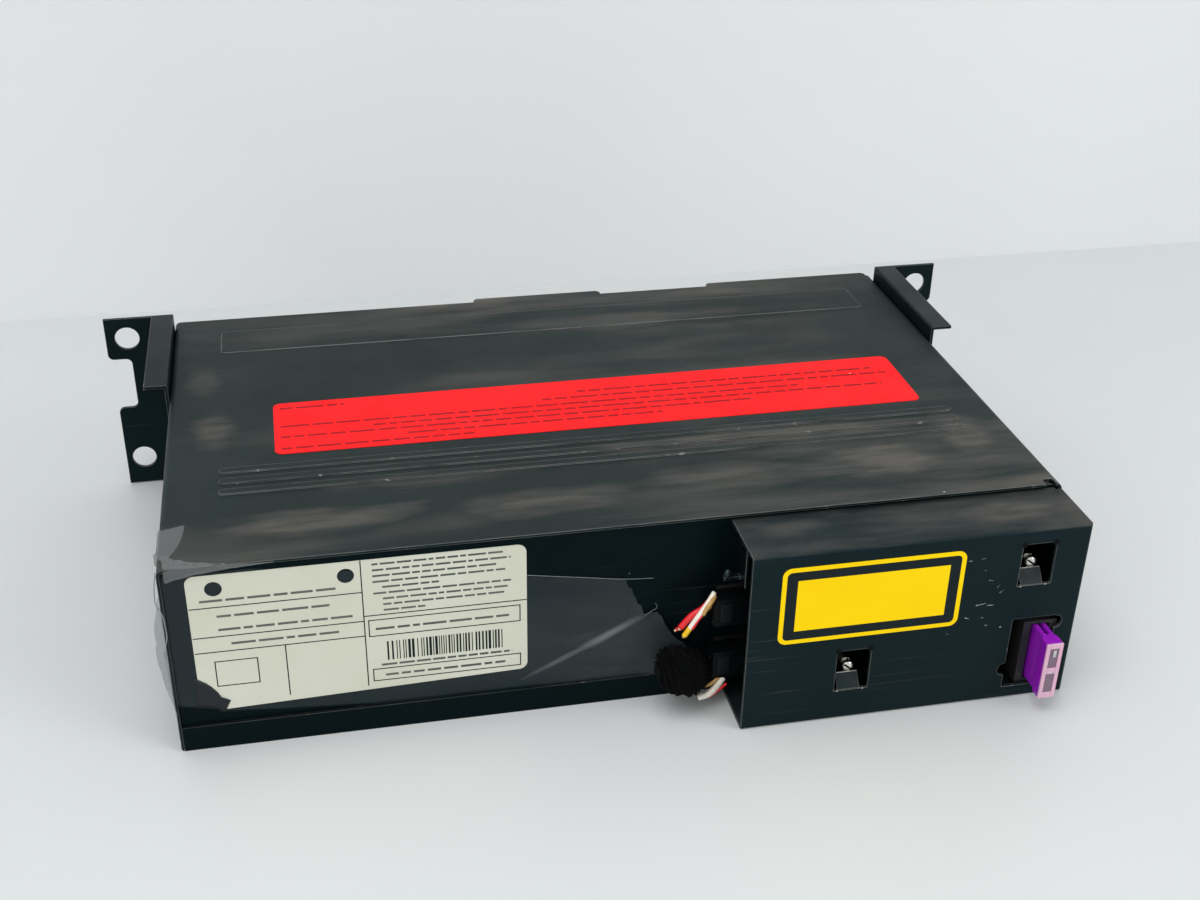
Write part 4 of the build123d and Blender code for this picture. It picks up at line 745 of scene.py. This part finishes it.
side_finish = hazy_film("loose_film", (0.42, 0.45, 0.45), (0.60, 0.63, 0.63), 0.34, 0.2, 0.4)
form = bmesh.new()
bmesh.ops.create_grid(form, x_segments=60, y_segments=20, size=1)
for vert in form.verts:
    z = 31.0 + vert.co.x * 18.0
    inward = (vert.co.y + 1) / 2
    bulge = 3.3 * math.cos(vert.co.x * math.pi / 2) ** 0.6 if abs(vert.co.x) < 1 else 0.0
    bulge *= 1 + 0.25 * ripple(z * 0.22, inward * 2, 1.0)
    x = -128.65 - bulge * math.sin(math.pi * min(1.0, inward * 1.02))
    vert.co = Vector((x, -79.4 + inward * 13.0, z)) * mm
thicken(form)
new_piece("loose_tape_fold", form, side_finish, smooth=True)


# ------------------------------------------------------------ front bezel, door, button and magazine
# Moulded black plastic: the bezel with the mouth, the door that slides across it, the eject button, and the
# magazine with its six trays. Fine spark-eroded grain, polished where fingers touch.
def moulded(name, colour, rough, grain=0.02, shine=0.4):
    """Moulded plastic with fine grain and rubbed patches."""
    material, shader, place = new_finish(name)
    patches = patchy(material, place, 40.0, 4.0, 0.35, 0.7)
    lighter = tuple(min(1.0, part * 1.15 + 0.001) for part in colour)
    rounded = node(material, "Bevel", {"Radius": 0.35 * mm}, samples=4).outputs["Normal"]
    gloss = patchy(material, place, 30.0, 3.0, 0.3, 0.7, rough - 0.03, rough + 0.03)
    two_tone(material, shader, patches, colour, lighter,
         Specular_IOR_Level=shine, Roughness=gloss,
         Normal=relief(material, cloud(material, place, 2600.0, 2.0), grain, rounded))
    return material


black_plastic = moulded("black_plastic", (0.012, 0.012, 0.013), 0.5)
dress(black_plastic, "front_bezel", "magazine_door", "fuse_holder", "sockets", "clamp_puck", "turntable")
grey_plastic = moulded("grey_plastic", (0.030, 0.031, 0.034), 0.45)
dress(grey_plastic, "eject_button", "magazine_case", "pickup_sled", *["tray_%d" % k for k in range(1, 7)])

# Finger ribs in the magazine's grip, and the plain eject sign on the button.
grip_low, grip_high = (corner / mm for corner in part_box("magazine_case"))
form = bmesh.new()
rib_count, rib_pitch = 15, 3
for step in range(rib_count):
    x = (grip_low.x + grip_high.x) / 2 - 21 + step * rib_pitch
    add_box(form, (x - 0.5, grip_high.y - 1.52, 31.5), (x + 0.5, grip_high.y - 0.7, 41.5))
round_edges(form, 0.22)
new_piece("grip_ribs", form, grey_plastic, "magazine")
button_low, button_high = (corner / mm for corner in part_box("eject_button"))
sign_ink = label_film("pale_ink", (0.55, 0.55, 0.53), (0.48, 0.48, 0.46), 0.5, 0.0)
sign_x = (button_low.x + button_high.x) / 2
sign_z = (button_low.z + button_high.z) / 2
form = bmesh.new()
add_box(form, (sign_x - 1.5, button_high.y - 0.02, sign_z - 1.3),
        (sign_x + 1.5, button_high.y + 0.02, sign_z - 0.75))
arrow_radius = 1.55
arrow = bmesh.ops.create_cone(form, cap_ends=True, segments=3, radius1=arrow_radius * mm,
        radius2=arrow_radius * mm, depth=0.04 * mm)["verts"]
put(form, arrow, (0, 0, 0), "X", 90)
bmesh.ops.scale(form, vec=(1.1, 1, 0.75), verts=arrow)
put(form, arrow, (sign_x, button_high.y, sign_z + 0.3))
new_piece("eject_sign", form, sign_ink, "button")


# ------------------------------------------------------------ discs
# Silvered plastic discs with a clear ring round the hole; the fine track gives a faint coloured sheen.
disc_finish, shader, place = new_finish("silver_disc")
patches = cloud(disc_finish, place, 30.0, 3.0)
two_tone(disc_finish, shader, between(disc_finish, patches, 0.4, 0.6),
        (0.74, 0.75, 0.77), (0.66, 0.68, 0.72),
        Metallic=1.0, Roughness=0.14,
        Normal=relief(disc_finish, cloud(disc_finish, place, 200.0, 2.0), 0.004))
dress(disc_finish, *["disc_%d" % k for k in range(1, 7)])


# ------------------------------------------------------------ floating frame, deck and drives
# Zinc-plated steel sheet for the frame, deck, cam, arm and lever; ground rods, turned screws, plated motor
# cans, steel springs, soft rubber dampers and natural white slides.
plated = bright_metal("zinc_plate", (0.50, 0.51, 0.51), 0.38, (120, 120, 120), 0.35)
dress(plated, "float_frame", "deck_plate", "clamp_arm", "cam_plate", "eject_lever")
motor_can = bright_metal("motor_can", (0.46, 0.46, 0.47), 0.32, (300, 300, 60))
dress(motor_can, "lift_motor", "spindle_motor", "sled_motor")
ground = bright_metal("ground_steel", (0.66, 0.66, 0.67), 0.16, (900, 60, 900), 0.15)
dress(ground, "guide_rods", "lift_screw", "sled_screw")
spring_steel = bright_metal("spring_steel", (0.42, 0.42, 0.43), 0.3)
dress(spring_steel, "button_spring", "eject_spring", "suspension_coils")

# The button's spring, copied into a piece with a mesh of its own in place of the CAD node. The real spring
# shortens against its seat as the button goes in; nothing here changes its length.
form = bmesh.new()
form.from_mesh(frame["nodes"]["button_spring"].data)
form.transform(frame["nodes"]["button_spring"].matrix_world)
button_coil = new_piece("button_coil", form, spring_steel, smooth=True)
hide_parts("button_spring")
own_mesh(button_coil)
soft_rubber = moulded("soft_rubber", (0.016, 0.016, 0.017), 0.78, 0.05)
dress(soft_rubber, "dampers")
white_nylon = moulded("white_nylon", (0.58, 0.57, 0.53), 0.42)
dress(white_nylon, "magazine_slides", "tray_puller")
glass, shader, place = new_finish("lens_glass")
two_tone(glass, shader, cloud(glass, place, 400.0), (0.30, 0.36, 0.62),
        (0.42, 0.40, 0.66),
        Roughness=0.05, Transmission_Weight=0.6, IOR=1.49, Coat_Weight=0.6)
dress(glass, "lens")


# ------------------------------------------------------------ boards, parts on them and the flat cable
# Green glass-cloth boards with copper tracks under the varnish, black moulded parts, and a pale ribbon.
board_green, shader, place = new_finish("board_green")
tracks = node(board_green, "TexVoronoi", {"Vector": place, "Scale": 190.0},
        distance="CHEBYCHEV").outputs["Distance"]
lines = between(board_green, tracks, 0.42, 0.46)
two_tone(board_green, shader, lines, (0.012, 0.075, 0.030),
        (0.030, 0.16, 0.055),
        Roughness=0.32, Normal=relief(board_green, cloud(board_green, place, 1500.0, 2.0), 0.01))
dress(board_green, "main_board", "plug_board")
dress(moulded("black_parts", (0.018, 0.018, 0.020), 0.4), "board_parts")
ribbon, shader, place = new_finish("ribbon_cable")
cores = node(ribbon, "TexWave", {"Vector": place, "Scale": 240.0, "Distortion": 0.0}, wave_type="BANDS",
        bands_direction="X").outputs["Fac"]
two_tone(ribbon, shader, between(ribbon, cores, 0.3, 0.7), (0.50, 0.50, 0.47),
        (0.62, 0.62, 0.58),
        Roughness=0.5, Normal=relief(ribbon, cores, 0.1))
dress(ribbon, "flat_cable")


# ------------------------------------------------------------ plugs, cut wires and the taped cable
# Two black plugs sit in their sockets. The upper one's three wires were cut short with bright copper ends.
# The lower one's wires run into a cable wrapped in frayed black cloth tape.
dress(moulded("plug_plastic", (0.0015, 0.0022, 0.0027), 0.34, shine=0.12), "plugs")
plug_low, plug_high = (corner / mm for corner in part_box("plugs"))
form = bmesh.new()
for level in (plug_low.z, plug_high.z - 9.0):
    for z in (level + 1.6, level + 7.2):
        add_box(form, (plug_low.x - 0.25, plug_low.y + 0.8, z - 0.3),
                (plug_low.x + 0.3, plug_high.y - 0.8, z + 0.3))
    add_box(form, (plug_low.x + 2.0, plug_low.y - 0.28, level + 1.4),
            (plug_low.x + 5.6, plug_low.y + 0.1, level + 7.6))
round_edges(form, 0.1)
latch_plastic = moulded("latch_plastic", (0.003, 0.005, 0.006), 0.3, shine=0.2)
new_piece("plug_latches", form, latch_plastic)


def wire_cover(name, colour):
    """Coloured wire covering, a little grimy."""
    material, shader, place = new_finish(name)
    dirt = patchy(material, place, 700.0, 4.0, 0.5, 0.8)
    darker = tuple(part * 0.72 for part in colour)
    two_tone(material, shader, dirt, colour, darker, Roughness=0.38,
         Normal=relief(material, cloud(material, place, 900.0, 2.0), 0.03))
    return material


red_cover = wire_cover("red_cover", (0.72, 0.010, 0.018))
white_cover = wire_cover("white_cover", (0.84, 0.78, 0.68))
yellow_cover = wire_cover("yellow_cover", (0.85, 0.52, 0.01))
brown_cover = wire_cover("brown_cover", (0.52, 0.30, 0.09))
copper, shader, place = new_finish("cut_copper")
two_tone(copper, shader, cloud(copper, place, 2500.0), (0.80, 0.56, 0.36),
        (0.50, 0.32, 0.18), Metallic=1.0, Roughness=0.3)
wire_front = -86.9
for name, finish, radius, points in (
        ("red_wire", red_cover, 0.92, ((22.6, -2.4, 36.4), (19.6, -0.9, 34.2), (16.0, 0.0, 32.6),
                (12.6, 0.3, 28.9))),
        ("white_wire", white_cover, 0.74, ((22.8, -1.6, 38.6), (19.6, 0.7, 35.6), (16.6, 1.2, 31.4),
                (14.3, 1.2, 27.6))),
        ("red_stripe", red_cover, 0.30, ((21.4, -0.4, 36.6), (19.2, 1.3, 34.2), (17.0, 1.9, 31.2),
                (15.8, 2.0, 29.2))),
        ("yellow_tip", yellow_cover, 0.80, ((15.3, 1.2, 29.2), (14.5, 1.2, 27.9), (13.7, 1.1, 26.6))),
        ("brown_wire", brown_cover, 0.66, ((22.8, -1.0, 37.6), (21.0, 1.2, 37.0), (19.4, 1.6, 34.9),
                (18.9, 1.5, 33.6))),
        ("thin_wire", brown_cover, 0.42, ((22.8, -2.2, 34.0), (19.6, -0.4, 32.4), (18.4, 0.1, 31.4))),
        ("bare_wire", red_cover, 0.58, ((17.0, -0.9, 32.0), (14.0, -0.4, 29.4), (11.6, -0.2, 28.0)))):
    path = [(x, wire_front - y + 0.9, z) for x, y, z in points]
    run_of_wire(name, path, radius, finish)
    if name in ("red_wire", "yellow_tip", "bare_wire"):
        tip = Vector(path[-1])
        away = (tip - Vector(path[-2])).normalized()
        run_of_wire(name + "_core", [tuple(tip - away * 0.4), tuple(tip + away * 0.6)], radius * 0.66, copper)
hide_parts("cut_wires")

for name, finish, radius, points in (
        ("white_tail", white_cover, 1.0, ((18.6, -87.9, 4.4), (21.8, -88.0, 5.4), (24.0, -87.4, 7.0),
                (26.4, -86.2, 9.4))),
        ("red_tail", red_cover, 0.45, ((22.0, -88.0, 4.2), (25.0, -87.6, 6.2), (27.4, -86.8, 7.4))),
        ("brown_tail", brown_cover, 0.5, ((20.2, -87.0, 7.2), (22.6, -87.2, 8.4), (25.4, -86.3, 10.2)))):
    run_of_wire(name, points, radius, finish)
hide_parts("wire_tails")

cloth_tape, shader, place = new_finish("cloth_tape")
threads = cloud(cloth_tape, place, 1.0, 3.0, (1300, 1300, 1300))
two_tone(cloth_tape, shader, threads, (0.0008, 0.0009, 0.001),
        (0.0030, 0.0033, 0.0036), Roughness=0.95,
        Sheen_Weight=0.02, Sheen_Roughness=0.5, Specular_IOR_Level=0.03,
        Normal=relief(cloth_tape, threads, 0.2))
form = bmesh.new()
bmesh.ops.create_icosphere(form, subdivisions=6, radius=1.0)
lump_middle = Vector((13.6, -86.9, 14.1))
lump_reach = Vector((7.9, 6.2, 7.3))
squareness, slope = 0.72, 0.2
for vert in form.verts:
    out = vert.co.normalized()
    boxy = Vector([math.copysign(abs(part) ** squareness, part) for part in out])
    lap = 0.035 * math.sin((out.x * 3.4 + out.z * 1.3) * 7.0)
    ruck = 0.10 * noise.noise(out * 2.1) + 0.045 * noise.noise(out * 7.0) + 0.02 * noise.noise(out * 21.0)
    spot = Vector([middle + part * reach * (0.92 + lap + ruck)
                   for middle, part, reach in zip(lump_middle, boxy, lump_reach)])
    spot.z -= (spot.x - lump_middle.x) * slope
    vert.co = spot * mm
bmesh.ops.recalc_face_normals(form, faces=form.faces)
wrap_piece = new_piece("cloth_wrap", form, cloth_tape, smooth=True)
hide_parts("loom_wrap")

# Loose threads that stand off the frayed wrap.
form = bmesh.new()
frayed = random.Random(11)
thread_count = 420
for _ in range(thread_count):
    out = Vector([frayed.gauss(0, 1) for _ in range(3)]).normalized()
    root = Vector([middle + math.copysign(abs(part) ** squareness, part) * reach * 0.9
                   for middle, part, reach in zip(lump_middle, out, lump_reach)])
    root.z -= (root.x - lump_middle.x) * slope
    lean = (out + Vector([frayed.uniform(-0.8, 0.8) for _ in range(3)])).normalized()
    length = frayed.uniform(0.8, 1.9) * mm
    thread = bmesh.ops.create_cone(form, cap_ends=True, segments=3, radius1=0.06 * mm, radius2=0.025 * mm,
            depth=length)["verts"]
    aim = lean.to_track_quat("Z", "Y").to_matrix().to_4x4()
    bmesh.ops.transform(form, matrix=Matrix.Translation(root * mm + lean * length / 2) @ aim, verts=thread)
new_piece("cloth_threads", form, cloth_tape)


# ------------------------------------------------------------ blade fuse
# A clear violet moulding: a broad head, a narrower neck split by a slot, and two tin-plated blades that plug
# into the holder. Its end face is paler, with two test openings over the metal element.
def clear_violet(name, colour, deep, rough):
    """Clear tinted plastic, brighter where it is thin."""
    material, shader, place = new_finish(name)
    depth = cloud(material, place, 300.0, 3.0)
    two_tone(material, shader, depth, colour, deep, Roughness=rough,
         Subsurface_Weight=0.3, Subsurface_Scale=0.002, Coat_Weight=0.3,
         Normal=relief(material, cloud(material, place, 500.0, 2.0), 0.01))
    return material


violet = clear_violet("violet_plastic", (0.30, 0.012, 0.47), (0.24, 0.010, 0.40), 0.2)
pink_clear = clear_violet("pale_violet", (0.72, 0.44, 0.56), (0.62, 0.34, 0.48), 0.16)
grey_clear = clear_violet("smoked_violet", (0.22, 0.14, 0.19), (0.15, 0.09, 0.14), 0.1)
tin = bright_metal("tin_plate", (0.70, 0.69, 0.68), 0.28)
fuse_x, fuse_low, fuse_high, fuse_end = 118.3, 5.6, 24.7, -108.25
half_fuse, half_neck, head_y, neck_y, root_y = 2.55, 1.85, -104.45, -102.95, -96.25
form = bmesh.new()
add_box(form, (fuse_x - half_fuse, fuse_end + 0.5, fuse_low), (fuse_x + half_fuse, head_y, fuse_high))
back = [face for face in form.faces if face.normal.y > 0.5]
flare = bmesh.ops.extrude_face_region(form, geom=back)["geom"]
bmesh.ops.delete(form, geom=back, context="FACES_ONLY")
moved = [part for part in flare if isinstance(part, bmesh.types.BMVert)]
bmesh.ops.translate(form, vec=(0, (neck_y - head_y) * mm, 0), verts=moved)
bmesh.ops.scale(form, vec=(half_neck / half_fuse, 1, 1), space=Matrix.Translation((-fuse_x * mm, 0, 0)),
        verts=moved)
bmesh.ops.recalc_face_normals(form, faces=form.faces)
for side in (-1, 1):
    inner, outer = sorted((side * 0.55, side * half_neck))
    add_box(form, (fuse_x + inner, neck_y - 0.2, fuse_low), (fuse_x + outer, root_y, fuse_high))
add_box(form, (fuse_x - 0.7, neck_y - 0.2, fuse_low + 2.8), (fuse_x + 0.7, root_y - 0.1, fuse_high - 2.8))
round_edges(form, 0.28, 3)
fuse_shell = new_piece("fuse_shell", form, violet, "fuse")
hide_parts("blade_fuse")

form = bmesh.new()
rail = 1.15
window_ends = ((fuse_low + 1.9, fuse_low + 8.6), (fuse_low + 10.6, fuse_high - 1.6))
for low_x, high_x, low_z, high_z in (
        (-half_fuse, -half_fuse + rail, fuse_low, fuse_high),
        (half_fuse - rail, half_fuse, fuse_low, fuse_high),
        (-half_fuse + rail, half_fuse - rail, fuse_low, window_ends[0][0]),
        (-half_fuse + rail, half_fuse - rail, window_ends[0][1], window_ends[1][0]),
        (-half_fuse + rail, half_fuse - rail, window_ends[1][1], fuse_high)):
    add_box(form, (fuse_x + low_x, fuse_end, low_z), (fuse_x + high_x, fuse_end + 0.62, high_z))
round_edges(form, 0.12)
new_piece("fuse_end_face", form, pink_clear, "fuse")
form = bmesh.new()
for low_z, high_z in window_ends:
    add_box(form, (fuse_x - half_fuse + rail - 0.1, fuse_end + 0.3, low_z - 0.1),
            (fuse_x + half_fuse - rail + 0.1, fuse_end + 0.6, high_z + 0.1))
new_piece("fuse_openings", form, grey_clear, "fuse")
half_blade = 0.325
form = bmesh.new()
for low_z, high_z, shift in ((fuse_low + 9.0, fuse_low + 9.5, 0.0), (fuse_high - 4.6, fuse_high - 2.2, 0.45)):
    add_box(form, (fuse_x - 0.75 + shift, fuse_end - 0.015, low_z),
            (fuse_x + 0.25 + shift, fuse_end + 0.35, high_z))
for side in (-1, 1):
    blade_z = (fuse_low + fuse_high) / 2 + side * 6.3
    add_box(form, (fuse_x - half_blade, root_y - 0.1, blade_z - 2.6),
            (fuse_x + half_blade, root_y + 9.0, blade_z + 2.6))
round_edges(form, 0.08)
new_piece("fuse_blades", form, tin, "fuse")
